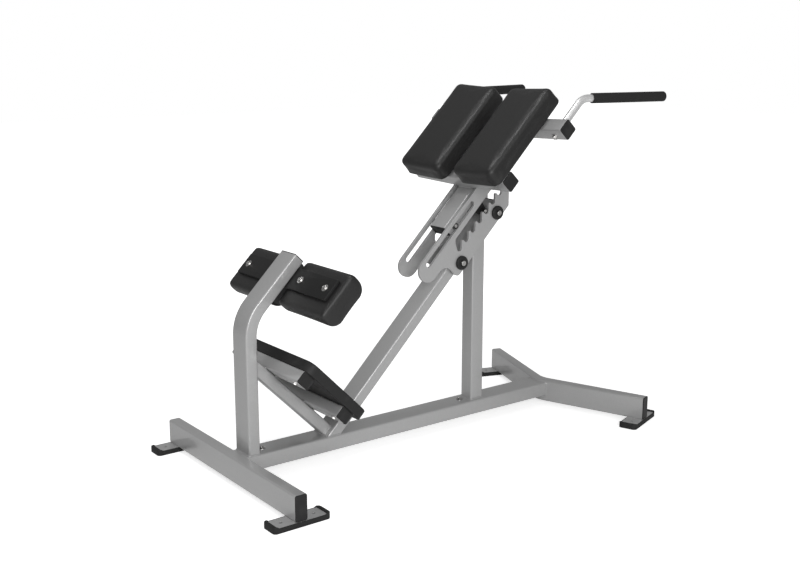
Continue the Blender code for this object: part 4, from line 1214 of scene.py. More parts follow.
@dataclass
class Base(SubAssembly):
    """Two stabilisers, their feet and the beam between them."""

    sides: Sides = (0.040, 0.080)
    sweep: float = float(np.radians(19.5))
    bend: float = 0.100
    foot_weld: tuple[float, float] = (-0.002, -0.056)
    beam_sides: Sides = (0.090, 0.050)
    rear_bolt_ahead: float = 0.068
    front_bolt_behind: float = 0.030
    nut_thick: float = 0.010

    def tip(self, end: End, side: Side, face: Place, along: Vec) -> None:
        """A stabiliser's end: its cap, its foot, and the beads along both sides of the foot's plate.

        Args:
            end: Which stabiliser.
            side: Which side of the bench it is on.
            face: The tube's end, with +Z out of it.
            along: The foot's direction.
        """
        self.end_cap(f"{end.value}_stabiliser_cap_{side.word}", face, self.sides)
        Feet(self.layout, self.shop).build(f"{end.value}_foot_rubber_{side.word}", along)
        down = -1.0 if face.axes[2, 1] > 0 else 1.0
        for number, across in enumerate((-1, 1), 1):
            x, y = across * self.sides[0] / 2, down * self.sides[1] / 2
            ends = [(x, y, z) for z in self.foot_weld]
            name = f"{end.value}_foot_weld_{side.word}_{number}"
            self.weld_line(name, face, ends, (0, -down, 0))

    def rear(self) -> None:
        """The straight rear stabiliser."""
        _, high, (x, _, z) = self.box("rear_stabiliser_cap_left")
        end = high[1] - CAP_REACH
        tube = box_tube("rear_stabiliser_tube", WORLD.at((x, 0, z), Y), self.sides, (-end, end))
        self.put(tube, Finish.SILVER, "rear_stabiliser")
        for side in Side:
            self.tip(End.REAR, side, WORLD.at((x, side.value * end, z), (0, side.value, 0)), X)

    def front(self) -> float:
        """The front stabiliser, bent from one tube.

        Returns:
            The X of the bend's middle, which the beam's end is coped about.
        """
        sine, cosine = np.sin(self.sweep), np.cos(self.sweep)
        arm = WORLD.at((0, 0, 0), (sine, cosine, 0), (cosine, -sine, 0))
        _, high, middle = self.box("front_stabiliser_cap_left", arm)
        x, y, z = arm.out((*middle[:2], high[2] - CAP_REACH))
        tangent = self.bend * np.tan(self.sweep)
        straight = y / cosine - tangent
        path = bend_path(straight, self.bend, 2 * self.sweep, straight)
        start = WORLD.at((x, -y, z), (-sine, cosine, 0))
        tube = bent_tube("front_stabiliser_tube", start, path, *tube_rings(self.sides)[::2])
        self.put(tube, Finish.SILVER, "front_stabiliser")
        for side in Side:
            across = (cosine, -side.value * sine, 0)
            face = WORLD.at((x, side.value * y, z), (sine, side.value * cosine, 0), across)
            self.tip(End.FRONT, side, face, across)
        return float(x - y * np.tan(self.sweep) + self.bend / cosine)

    def beam(self, bend_middle: float) -> None:
        """The beam, whose front end follows the bend: x = middle - sqrt(reach² - y²).

        Args:
            bend_middle: The X of the bend's middle.
        """
        low, _, middle = self.box("main_beam")
        place = WORLD.at((0, 0, middle[2]), X, Y)
        reach = self.bend + self.sides[0] / 2 + GAP

        def cope(across: Array, _: Array) -> Array:
            """Where the beam meets the front stabiliser."""
            return bend_middle - np.sqrt(reach**2 - across**2)

        tube = box_tube("beam_tube", place, self.beam_sides, (low[0], cope))
        self.put(tube, Finish.SILVER, "main_beam")
        self.weld_round("beam_weld_rear", place, self.beam_sides, low[0], Z)
        self.weld_round("beam_weld_front", place, self.beam_sides, cope, DOWN)

    def beam_bolts(self) -> None:
        """A bolt through the beam next to each upright: its head on top and its nut below."""
        low, high, _ = self.box("main_beam")
        for end, ahead in ((End.REAR, self.rear_bolt_ahead), (End.FRONT, -self.front_bolt_behind)):
            x = self.box(f"{end.value}_upright")[0][0] + ahead
            self.fasten(f"beam_bolt_head_{end.value}", WORLD.at((x, 0, high[2])))
            nut = WORLD.at((x, 0, low[2]), DOWN)
            self.fasten(f"beam_bolt_nut_{end.value}", nut, head_thick=self.nut_thick)

    def build(self) -> None:
        """Builds the base."""
        self.rear()
        self.beam(self.front())
        self.beam_bolts()


@dataclass
class Uprights(SubAssembly):
    """The bent rear upright, the front upright and the sloping tube between them."""

    rear_sides: Sides = (0.040, 0.084)
    rear_bend: float = 0.130
    front_sides: Sides = (0.055, 0.055)
    diagonal_sides: Sides = (0.040, 0.080)
    support_sides: Sides = (0.040, 0.040)

    def rear(self) -> None:
        """The rear upright, from the beam up and over to the slope's direction."""
        low = self.box("rear_upright")[0]
        start = self.box("main_beam")[1][2] + GAP
        _, high, middle = self.box("rear_upright_cap", self.slope)
        end = (high[0] - CAP_REACH, 0, middle[2])
        tip = self.slope.out(end)
        x = low[0] + self.rear_sides[0] / 2
        turn = np.pi / 4
        ahead = tip[0] - x
        tangent = self.rear_bend * np.tan(turn / 2)
        lead = tip[2] - ahead / np.tan(turn) - tangent - start
        foot = WORLD.at((x, 0, start))
        path = bend_path(lead, self.rear_bend, turn, ahead / np.sin(turn) - tangent)
        tube = bent_tube("rear_upright_tube", foot, path, *tube_rings(self.rear_sides)[::2])
        self.put(tube, Finish.SILVER, "rear_upright")
        self.end_cap("rear_upright_cap", self.slope.at(end, X, DOWN), self.rear_sides)
        self.weld_round("rear_upright_weld", foot, self.rear_sides, 0.0, Z)

    def front(self) -> None:
        """The front upright, cut to the diagonal tube's slope."""
        low, high, middle = self.box("front_upright")
        place = WORLD.at((middle[0], 0, 0))
        centre = high[2] - self.front_sides[0] / 2

        def mitre(x: Array, _: Array) -> Array:
            """The slope's plane: as high above the middle as x is ahead of it."""
            return centre + x

        tube = box_tube("front_upright_tube", place, self.front_sides, (low[2], mitre))
        self.put(tube, Finish.SILVER, "front_upright")
        self.weld_round("front_upright_weld_foot", place, self.front_sides, low[2], Z)
        self.weld_round("front_upright_weld_top", place, self.front_sides, mitre, (1, 0, -1))

    def diagonal(self) -> None:
        """The sloping tube, cut level at its foot."""
        beam_top = self.box("main_beam")[1][2] + GAP
        _, high, middle = self.box("diagonal_tube_cap", self.slope)
        end = high[0] - CAP_REACH
        place = self.slope.at((0, 0, middle[2]), X, Z)
        rise_across, _, rise_along = place.axes[2]

        def foot(x: Array, _: Array) -> Array:
            """Where the tube is as high as the beam's upper face."""
            return (beam_top - place.origin[2] - rise_across * x) / rise_along

        tube = box_tube("diagonal_box", place, self.diagonal_sides, (foot, end))
        self.put(tube, Finish.SILVER, "diagonal_tube")
        self.end_cap("diagonal_tube_cap", place.at((0, 0, end)), self.diagonal_sides)
        self.weld_round("diagonal_weld_foot", place, self.diagonal_sides, foot, place.axes[2])

    def support(self) -> None:
        """The short tube that carries the foot plate, cut to the rear upright's face."""
        low, _, middle = self.box("foot_support", self.slope)
        place = self.slope.at((middle[0], 0, 0))
        face = self.box("foot_support")[0][0]
        ahead_across, _, ahead_along = place.axes[0]

        def cut(x: Array, _: Array) -> Array:
            """Where the tube's X is the upright's face's."""
            return (face - place.origin[0] - ahead_across * x) / ahead_along

        tube = box_tube("support_tube", place, self.support_sides, (low[2], cut))
        self.put(tube, Finish.SILVER, "foot_support")
        self.weld_round("support_weld_foot", place, self.support_sides, low[2], Z)
        self.weld_round("support_weld_top", place, self.support_sides, cut, place.axes[0])

    def build(self) -> None:
        """Builds the uprights and the slope's tubes."""
        self.rear()
        self.front()
        self.diagonal()
        self.support()


@dataclass
class FootRest(SubAssembly):
    """The two crossbars and the tread that is bolted to them."""

    bar_sides: Sides = (0.040, 0.050)
    weld_half: float = 0.018
    tread_thick: float = 0.035
    tread_corner: float = 0.030
    edge: float = 0.006
    border: float = 0.012
    border_slope: float = 0.0015
    sunk: float = 0.0008
    stud_y: float = 0.160
    nut_washer: float = 0.0085
    nut_washer_thick: float = 0.0012
    nut_thick: float = 0.0032

    def bar(self, level: Level) -> Array:
        """One crossbar with its caps and its two beads.

        Args:
            level: Which one.

        Returns:
            The bar's middle, on the slope.
        """
        name = f"crossbar_{level.value}"
        low, high, middle = self.box(name, self.slope)
        tube = box_tube(f"{name}_tube", self.slope.at(middle, Y), self.bar_sides, (low[1], high[1]))
        self.put(tube, Finish.SILVER, name)
        for side in Side:
            face = self.slope.at((middle[0], side.value * high[1], middle[2]), (0, side.value, 0))
            self.end_cap(f"{name}_cap_{side.word}", face, self.bar_sides)
        for number, sign in enumerate((-1, 1), 1):
            z = middle[2] + sign * self.bar_sides[1] / 2
            ends = [(low[0], y, z) for y in (-self.weld_half, self.weld_half)]
            self.weld_line(f"{name}_weld_{number}", self.slope, ends, X)
        return middle

    def tread(self) -> None:
        """The thick tread, with a round edge and a slightly sunk middle."""
        low, high, middle = self.box("foot_plate", self.slope)
        thick = self.tread_thick
        place = self.slope.at((high[0] - thick, 0, middle[2]), X, DOWN)
        profile = slab_profile(thick, self.edge, 5)
        profile += [(self.border, thick), (self.border + self.border_slope, thick - self.sunk)]
        sides = (high[2] - low[2], high[1] - low[1])
        made = stacked("foot_plate_tread", place, sides, self.tread_corner, profile)
        self.put(made, Finish.TREAD, "foot_plate")

    def build(self) -> None:
        """Builds the foot rest."""
        for level in Level:
            middle = self.bar(level)
            under = middle[0] - self.bar_sides[0] / 2
            for side in Side:
                seat = self.slope.at((under, side.value * self.stud_y, middle[2]), (-1, 0, 0), Y)
                nut = Fastener(self.nut_washer, self.nut_washer_thick, head_thick=self.nut_thick)
                made = nut.build(f"tread_nut_{level.value}_{side.word}", seat)
                self.put(made, Finish.ZINC)
        self.tread()


@dataclass
class Rack(SubAssembly):
    """The two side plates and the bolts that clamp them."""

    edge: float = 0.0009
    rod: float = 0.008
    collar: float = 0.015
    collar_end: float = 0.0497
    stud: float = 0.009
    stud_length: float = 0.006
    stud_edge: float = 0.0003
    stud_tip: float = 0.0012
    cap_round: float = 0.0042
    recess: float = 0.0128
    recess_deep: float = 0.0012
    recess_slope: float = 0.001

    def tie_bolt(self, level: Level) -> None:
        """One clamping bolt: its rod with collars and plain ends, and a round cap on each side.

        Args:
            level: Which one.
        """
        node = f"tie_bolt_{level.value}"
        _, high, middle = self.box(node, self.slope)
        end = high[1] - middle[1]
        rod, stud = self.rod, self.stud
        step, edge = end - self.stud_length, self.stud_edge
        half = [(rod, RACK_PINS), (self.collar, RACK_PINS)]
        half += [(self.collar, self.collar_end), (rod, self.collar_end), (rod, step)]
        half += [(stud - edge, step), (stud, step + edge), (stud, end - self.stud_tip)]
        half += [(stud - self.stud_tip, end), (stud * 0.5, end), (stud * 0.42, end - 0.0008)]
        made = turned(f"tie_rod_{level.value}", self.slope.at(middle, Y), both_ways(half))
        self.put(made, Finish.ZINC, node)
        for side in Side:
            self.tie_cap(f"tie_cap_{level.value}_{side.word}", side, middle)

    def tie_cap(self, node: str, side: Side, middle: Array) -> None:
        """A clamping bolt's round cap, with a recess for the bolt's end.

        Args:
            node: The cap's node.
            side: Which side of the rack it is on.
            middle: The bolt's middle, on the slope.
        """
        low, high, _ = self.box(node, self.slope)
        radius = (high[0] - low[0]) / 2
        thick = high[1] - low[1]
        seat = low[1] if side is Side.LEFT else high[1]
        place = self.slope.at((middle[0], seat, middle[2]), (0, side.value, 0))
        bore, floor = self.rod + GAP, thick - self.recess_deep
        draw, rise = round_edge(self.cap_round, 5)
        profile = [(bore, 0), (radius - BROKEN, 0), (radius, BROKEN)]
        profile += rows(radius - draw, thick - self.cap_round + rise)
        profile += [(self.recess, thick), (self.recess - self.recess_slope, floor), (bore, floor)]
        made = turned(node.replace("cap", "dome"), place, profile, hollow=True, steps=64)
        self.put(made, Finish.PLASTIC, node)

    def build(self) -> None:
        """Builds the rack; its plates keep the frame's slots and notches and get round edges."""
        for side in Side:
            node = f"side_plate_{side.word}"
            plate = smooth_copy(f"rack_plate_{side.word}", self.layout.nodes[node].data, self.edge)
            self.put(plate, Finish.SILVER, node)
        for level in Level:
            self.tie_bolt(level)


@dataclass
class GuidePin(SubAssembly):
    """The pin that slides in the rack's slots, with a sleeve on each side."""

    body: Body = Body.SLIDER

    def build(self) -> None:
        """Builds the pin and its sleeves."""
        low, high, _ = self.box("guide_pin", self.slope)
        end, radius = high[1], (high[0] - low[0]) / 2
        half = [(radius, end - BROKEN), (radius - BROKEN, end)]
        bar = turned("guide_pin_bar", self.slope.at((0, 0, 0), Y), both_ways(half))
        self.put(bar, Finish.ZINC, "guide_pin")
        for side in Side:
            node = f"guide_roller_{side.word}"
            low, high, _ = self.box(node, self.slope)
            inner, outer = sorted(abs(value) for value in (low[1], high[1]))
            place = self.slope.at((0, 0, 0), (0, side.value, 0))
            made = sleeve(f"guide_sleeve_{side.word}", place, (high[0] - low[0]) / 2, (inner, outer))
            self.put(made, Finish.PLASTIC, node)


@dataclass
class Carriage(SubAssembly):
    """The sliding tube, its cross tubes, and the pin that locks it in the rack."""

    body: Body = Body.CARRIAGE
    sides: Sides = (0.040, 0.080)
    cross_sides: Sides = (0.050, 0.050)
    bend: float = 0.004
    saddle_thick: float = 0.0017
    saddle_half: float = 0.034
    saddle_inset: float = 0.0015
    pad_bolt_along: float = 0.127
    pad_bolt_washer: float = 0.011
    pad_bolt_head: float = 0.0045
    weld_half: float = 0.031
    weld_off: float = 0.0235
    bracket_edge: float = 0.0012
    pin: float = 0.0060
    pin_tip: float = 0.0055
    sleeve_short: float = 0.00075

    def tube(self) -> None:
        """The sliding tube and the saddles under the cross tubes."""
        low, high, _ = self.box("carriage_tube", self.slope)
        middle = high[2] - self.saddle_half * np.tan(CROSS_TILT)
        top = middle - self.saddle_thick
        axis = top - self.sides[0] / 2
        place = self.slope.at((0, 0, axis), X, Z)
        tube = box_tube("carriage_box", place, self.sides, (low[0], high[0]))
        self.put(tube, Finish.SILVER, "carriage_tube")
        self.end_cap("carriage_cap", self.slope.at((low[0], 0, axis), (-1, 0, 0), Z), self.sides)
        half, foot = self.saddle_half - 0.001, top - GAP
        section = [(-half, foot), (half, foot), (half, high[2]), (0, middle), (-half, high[2])]
        for level in Level:
            first, last, _ = self.box(f"cross_tube_{level.value}", self.slope)
            ends = (first[0] + self.saddle_inset, last[0] - self.saddle_inset)
            rings = [self.slope.out(np.column_stack([np.full(5, end), section])) for end in ends]
            self.put(skin(f"cross_saddle_{level.value}", rings), Finish.SILVER)

    def half(self, level: Level, side: Side) -> Place:
        """One half of a cross tube.

        Args:
            level: Which one.
            side: Which half.

        Returns:
            A place at the tube's middle, with +Z out along the half and +X up the slope.
        """
        low, _, middle = self.box(f"cross_tube_{level.value}", self.slope)
        start = (middle[0], 0, low[2] + self.cross_sides[1] / 2 / np.cos(CROSS_TILT))
        return self.slope.at(start, (0, side.value * np.cos(CROSS_TILT), np.sin(CROSS_TILT)))

    def cross_tube(self, level: Level) -> None:
        """One cross tube, bent in the middle, with its caps, its beads and the bolts up into the pads.

        A section point (a, b) of a half, b off the slope, is (a, -side * b, run) in the half's place.
        The rings run from the right end through the bend to the left end, and the bore's back.

        Args:
            level: Which one.
        """
        node = f"cross_tube_{level.value}"
        halves = {side: self.half(level, side) for side in Side}
        end = self.box(node, halves[Side.LEFT])[1][2]
        outer, drawn, bore = tube_rings(self.cross_sides)
        skin_rings = [(drawn, end), (outer, end - BROKEN), (outer, self.bend)]
        bore_rings = [(bore, self.bend), (bore, end)]
        walk = [(Side.RIGHT, skin_rings), (Side.LEFT, skin_rings[::-1])]
        walk += [(Side.LEFT, bore_rings[::-1]), (Side.RIGHT, bore_rings)]
        rings = []
        for side, stretch in walk:
            rings += [halves[side].out(raised(ring * (1, -side.value), run)) for ring, run in stretch]
        self.put(skin(f"cross_box_{level.value}", rings, hollow=True), Finish.SILVER, node)
        for side, place in halves.items():
            self.end_cap(f"{node}_cap_{side.word}", place.at((0, 0, end)), self.cross_sides)
            under = (0, side.value * self.cross_sides[1] / 2, self.pad_bolt_along)
            seat = place.at(under, (0, side.value, 0))
            sizes = {"washer": self.pad_bolt_washer, "head_thick": self.pad_bolt_head}
            self.fasten(f"pad_bolt_{level.value}_{side.word}", seat, **sizes)
        low, _, middle = self.box(node, self.slope)
        run = self.weld_half
        edge = low[2] + run * np.tan(CROSS_TILT)
        for number, sign in enumerate((-1, 1), 1):
            x = middle[0] + sign * self.weld_off
            line = self.slope.out([(x, -run, edge), (x, 0, low[2]), (x, run, edge)])
            weld = bead(f"cross_weld_{level.value}_{number}", line, self.slope.axes[:, 2], closed=False)
            self.put(weld, Finish.SILVER)

    def lock(self) -> None:
        """The bracket and the pin that drops into the notches, with a black sleeve at each end."""
        source = self.layout.nodes["lock_bracket"].data
        bracket = smooth_copy("lock_bracket_casting", source, self.bracket_edge)
        self.put(bracket, Finish.BLACK, "lock_bracket")
        low, high, middle = self.box("lock_pin", self.slope)
        end, tip = high[1], self.pin_tip
        half = [(self.pin, end - 2 * BROKEN - 0.0001), (tip, end - 2 * BROKEN)]
        half += [(tip, end - BROKEN), (tip - BROKEN, end)]
        made = turned("lock_pin_bar", self.slope.at(middle, Y), both_ways(half))
        self.put(made, Finish.ZINC, "lock_pin")
        for side in Side:
            place = self.slope.at((middle[0], 0, middle[2]), (0, side.value, 0))
            ends = (RACK_PINS, end - self.sleeve_short)
            made = sleeve(f"lock_sleeve_{side.word}", place, (high[0] - low[0]) / 2, ends)
            self.put(made, Finish.PLASTIC)

    def build(self) -> None:
        """Builds the carriage."""
        self.tube()
        for level in Level:
            self.cross_tube(level)
        self.lock()


@dataclass
class Handles(SubAssembly):
    """Two plated handles, bent level and splayed, each with a soft grip."""

    body: Body = Body.CARRIAGE
    radius: float = 0.0127
    wall: float = 0.002
    y: float = 0.283
    rise: float = 0.053
    bend_along: float = 0.5425
    bend_radius: float = 0.055
    splay: float = float(np.radians(12.1))
    reach: float = 0.327
    grip_start: float = 0.038
    grip_length: float = 0.296
    grip_radius: float = 0.017
    grip_end: float = 0.007
    grip_edge: float = 0.0008

    def handle(self, side: Side) -> None:
        """One handle: up the slope from the upper cross tube, round its bend, then level.

        Args:
            side: Which handle.
        """
        low, high, _ = self.box("cross_tube_upper", self.slope)
        first = high[0] + GAP
        lead = self.bend_along - first
        heading = self.slope.axes[0] * np.cos(self.splay) + (0, side.value * np.sin(self.splay), 0)
        turn = float(np.arccos(heading[0]))
        tangent = self.bend_radius * np.tan(turn / 2)
        path = bend_path(lead - tangent, self.bend_radius, turn, self.reach - tangent, 36)
        start = self.slope.at((first, side.value * self.y, self.rise), X, heading * (0, 1, 1))
        outer, bore = circle_ring(self.radius, 64), circle_ring(self.radius - self.wall, 64)
        tube = bent_tube(f"handle_tube_{side.word}", start, path, outer, bore)
        self.put(tube, Finish.CHROME, f"handle_{side.word}")
        weld = bead(f"handle_weld_{side.word}", start.out(raised(outer, 0.0)), start.axes[:, 2], 0.0020)
        self.put(weld, Finish.CHROME)
        ahead = np.array([np.sin(turn), 0, np.cos(turn)])
        grip_from = ahead * self.grip_start + (0, 0, lead)
        self.grip(side, start.at(grip_from, ahead, (ahead[2], 0, -ahead[0])))
        seat = self.slope.at((low[0], side.value * self.y, self.rise), (-1, 0, 0), Y)
        self.fasten(f"handle_nut_{side.word}", seat, f"handle_bolt_{side.word}")

    def grip(self, side: Side, place: Place) -> None:
        """The grip: a sleeve with a crisp start and a domed end.

        Args:
            side: Which handle.
            place: The grip's start, with +Z along it.
        """
        inner, outer = self.radius + GAP, self.grip_radius
        draw, rise = round_edge(self.grip_end, 7)
        profile = [(inner, self.reach - self.grip_start + GAP), (inner, 0), (outer - self.grip_edge, 0)]
        profile += [(outer, self.grip_edge)]
        profile += rows(outer - draw, self.grip_length - self.grip_end + rise)
        made = turned(f"grip_sleeve_{side.word}", place, profile, steps=64)
        self.put(made, Finish.GRIP, f"grip_{side.word}")

    def build(self) -> None:
        """Builds both handles."""
        for side in Side:
            self.handle(side)


@dataclass
class Upholstery(SubAssembly):
    """What padded pieces share: how a shell becomes a soft pad, and how a pad is laid in its place."""

    voxel: float = 0.005
    pressure: float = 4.0
    frames: int = 20
    rounds: int = 3
    slack: float = 0.0004
    swell: float = 0.002

    def remeshed(self, pad: Any) -> None:
        """Makes a pad again from even squares of a voxel's size.

        Args:
            pad: The shell.
        """
        change = pad.modifiers.new("even", "REMESH")
        change.mode = "VOXEL"
        change.voxel_size = self.voxel
        bpy.context.view_layer.update()
        even = worked_out(pad, pad.name)
        pad.modifiers.clear()
        pad.data = even

    def inflated(self, pad: Any, held: Array) -> None:
        """Fills a pad with air by cloth simulation, and moves each point by no more than the swell.

        A point's move of length m becomes tanh(m / swell) * swell long.

        Args:
            pad: The remeshed pad.
            held: Whether each point is held where it is.
        """
        scene = bpy.context.scene
        rest = coords(pad.data)
        group = pad.vertex_groups.new(name="held")
        group.add(np.flatnonzero(held).tolist(), 1.0, "REPLACE")
        cloth = pad.modifiers.new("cloth", "CLOTH")
        cloth.settings.use_pressure = True
        cloth.settings.uniform_pressure_force = self.pressure
        cloth.settings.effector_weights.gravity = 0
        cloth.settings.vertex_group_mass = "held"
        cloth.collision_settings.use_collision = False
        cloth.point_cache.frame_start = 1
        cloth.point_cache.frame_end = self.frames
        for number in range(1, self.frames + 1):
            scene.frame_set(number)
        move = coords(pad.evaluated_get(bpy.context.evaluated_depsgraph_get()).data) - rest
        length = np.linalg.norm(move, axis=1, keepdims=True)
        share = np.tanh(length / self.swell) * self.swell / np.maximum(length, 1e-9)
        pad.modifiers.clear()
        pad.vertex_groups.clear()
        set_coords(pad.data, rest + move * share)
        scene.frame_set(1)

    def smoothed(self, pad: Any) -> None:
        """Evens out the steps that the remesh leaves.

        Args:
            pad: The remeshed pad.
        """
        shell = bmesh.new()
        shell.from_mesh(pad.data)
        axes = {"use_axis_x": True, "use_axis_y": True, "use_axis_z": True}
        for _ in range(self.rounds):
            bmesh.ops.smooth_vert(shell, verts=shell.verts, factor=0.5, **axes)
        shell.to_mesh(pad.data)
        shell.free()

    def softened(self, pad: Any, held: Callable[[Array], Array], low: Vec, high: Vec) -> None:
        """Turns a shell into a soft pad that fills a box.

        Args:
            pad: The shell, in its own place.
            held: Whether each of some heights is where the pad doesn't swell.
            low: The box's lowest corner.
            high: Its highest corner.
        """
        self.remeshed(pad)
        self.inflated(pad, held(coords(pad.data)[:, 2]))
        self.smoothed(pad)
        points = coords(pad.data)
        first, last = points.min(axis=0), points.max(axis=0)
        share = (points - first) / (last - first)
        set_coords(pad.data, np.asarray(low) + share * np.subtract(high, low))

    def laid(self, pad: Any, side: Side, place: Place, node: str) -> None:
        """Moves a pad's points from its own place into the bench's, turned over its Y on the right.

        Args:
            pad: The soft pad.
            side: Which side of the bench it is on.
            place: Its place.
            node: The start of its node's name.
        """
        set_coords(pad.data, place.out(coords(pad.data) * (1, side.value, 1)))
        if side is Side.RIGHT:
            pad.data.flip_normals()
        pad.data.shade_smooth()
        finer = pad.modifiers.new("finer", "SUBSURF")
        finer.levels = 1
        finer.render_levels = 1
        self.put(pad, Finish.VINYL, f"{node}_{side.word}")


@dataclass
class HipPads(Upholstery):
    """The two hip cushions: firm foam on a board, with round edges and a slight crown."""

    body: Body = Body.CARRIAGE
    swell: float = 0.0022
    edge: float = 0.0165
    corner: float = 0.023
    under: float = 0.004
    board: float = 0.0010
    waist: float = 0.0012
    crown: float = 0.0008
    least_corner: float = 0.003
    backing_inset: float = 0.012
    backing_corner: float = 0.010
    staple_inset: float = 0.004
    staple_half: float = 0.0045
    staple_wide: float = 0.0005
    staple_levels: tuple[float, float] = (0.0001, 0.0006)

    def shell(self, sides: Sides, thick: float) -> Any:
        """The cushion before it is filled.

        Ring by ring from the underside: a round lower edge, walls that draw in by a sine of their
        height, a round upper edge and a top that rises by a sine towards its middle.

        Args:
            sides: Its sizes along the slope and across.
            thick: Its thickness.

        Returns:
            The shell, in its own place.
        """
        length, width = (side - 2 * self.swell for side in sides)
        top = thick - 1.3 * self.swell
        shoulder = top - self.edge
        low_draw, low_rise = round_edge(self.under, 5)
        draw, rise = round_edge(self.edge, 9)
        foot = self.board + low_draw
        wall = np.linspace(0, 1, 12)[1:-1]
        share = np.linspace(0, 1, 9)[1:]
        reach = min(length, width) / 2 - self.edge - 0.006
        insets = [self.under - low_rise, self.waist * np.sin(wall * np.pi)]
        insets += [draw, self.edge + share * reach]
        heights = [foot, foot[-1] + (shoulder - foot[-1]) * wall, shoulder + rise]
        heights += [top + self.crown * np.sin(share * RIGHT_ANGLE)]
        rings = []
        for inset, height in rows(np.concatenate(insets), np.concatenate(heights)):
            corner = max(self.corner - inset, self.least_corner)
            ring = rounded_ring(length - 2 * inset, width - 2 * inset, corner, 8, 20)
            rings.append(raised(ring, height))
        return skin("hip_cushion_left", rings)

    def backing(self, side: Side, place: Place, sides: Sides) -> None:
        """The backing board's cloth panel and the row of staples round it.

        A staple is a block between two levels, half its length ahead and behind its spot on the ring.

        Args:
            side: Which cushion.
            place: The cushion's underside, with Z into it.
            sides: The cushion's sizes.
        """
        board = (sides[0] - 2 * self.backing_inset, sides[1] - 2 * self.backing_inset)
        profile = [(0.0006, 0.0004), (0.0, 0.0008), (0.0, 0.0030)]
        corner = self.backing_corner
        made = stacked(f"hip_backing_{side.word}", place, board, corner, profile)
        self.put(made, Finish.BACKING)
        row = (size - 2 * self.staple_inset for size in board)
        ring = rounded_ring(*row, corner - self.staple_inset, 2, 24)
        ahead = unit(np.roll(ring, -1, axis=0) - ring)[:, None]
        aside = ahead[..., ::-1] * (-1, 1)
        signs = np.array([(-1, -1), (1, -1), (1, 1), (-1, 1)])[None]
        flat = ring[:, None] + signs[..., :1] * self.staple_half * ahead
        flat = flat + signs[..., 1:] * self.staple_wide * aside
        levels = [np.insert(flat, 2, level, axis=-1) for level in self.staple_levels]
        points = np.concatenate(levels, axis=1).reshape(-1, 3)
        walls = [(corner, (corner + 1) % 4, (corner + 1) % 4 + 4, corner + 4) for corner in range(4)]
        block = np.array([(3, 2, 1, 0), (4, 5, 6, 7), *walls])
        faces = (block[None] + 8 * np.arange(len(ring))[:, None, None]).reshape(-1, 4)
        made = mesh_object(f"hip_staples_{side.word}", place.out(points), faces.tolist())
        self.put(made, Finish.ZINC)

    def rolled(self, side: Side) -> Place:
        """The slope, rolled about its own direction as a cross tube's half is."""
        return self.slope.at((0, 0, 0), (0, -side.value * np.sin(CROSS_TILT), np.cos(CROSS_TILT)))

    def build(self) -> None:
        """Builds the left cushion and mirrors it."""
        low, high, middle = self.box("hip_pad_left", self.rolled(Side.LEFT))
        length, width, thick = high - low
        left = self.shell((length, width), thick)
        reach = np.array([length / 2 + self.slack, width / 2 + self.slack, 0])
        hold = self.board + self.under * 1.5
        ends = (-reach + (0, 0, self.board), reach + (0, 0, thick + self.slack))
        self.softened(left, lambda height: height < hold, *ends)
        right = linked("hip_cushion_right", left.data.copy())
        for side, pad in zip(Side, (left, right)):
            place = self.rolled(side).at((middle[0], side.value * middle[1], low[2]))
            self.laid(pad, side, place, "hip_pad")
            self.backing(side, place, (length, width))


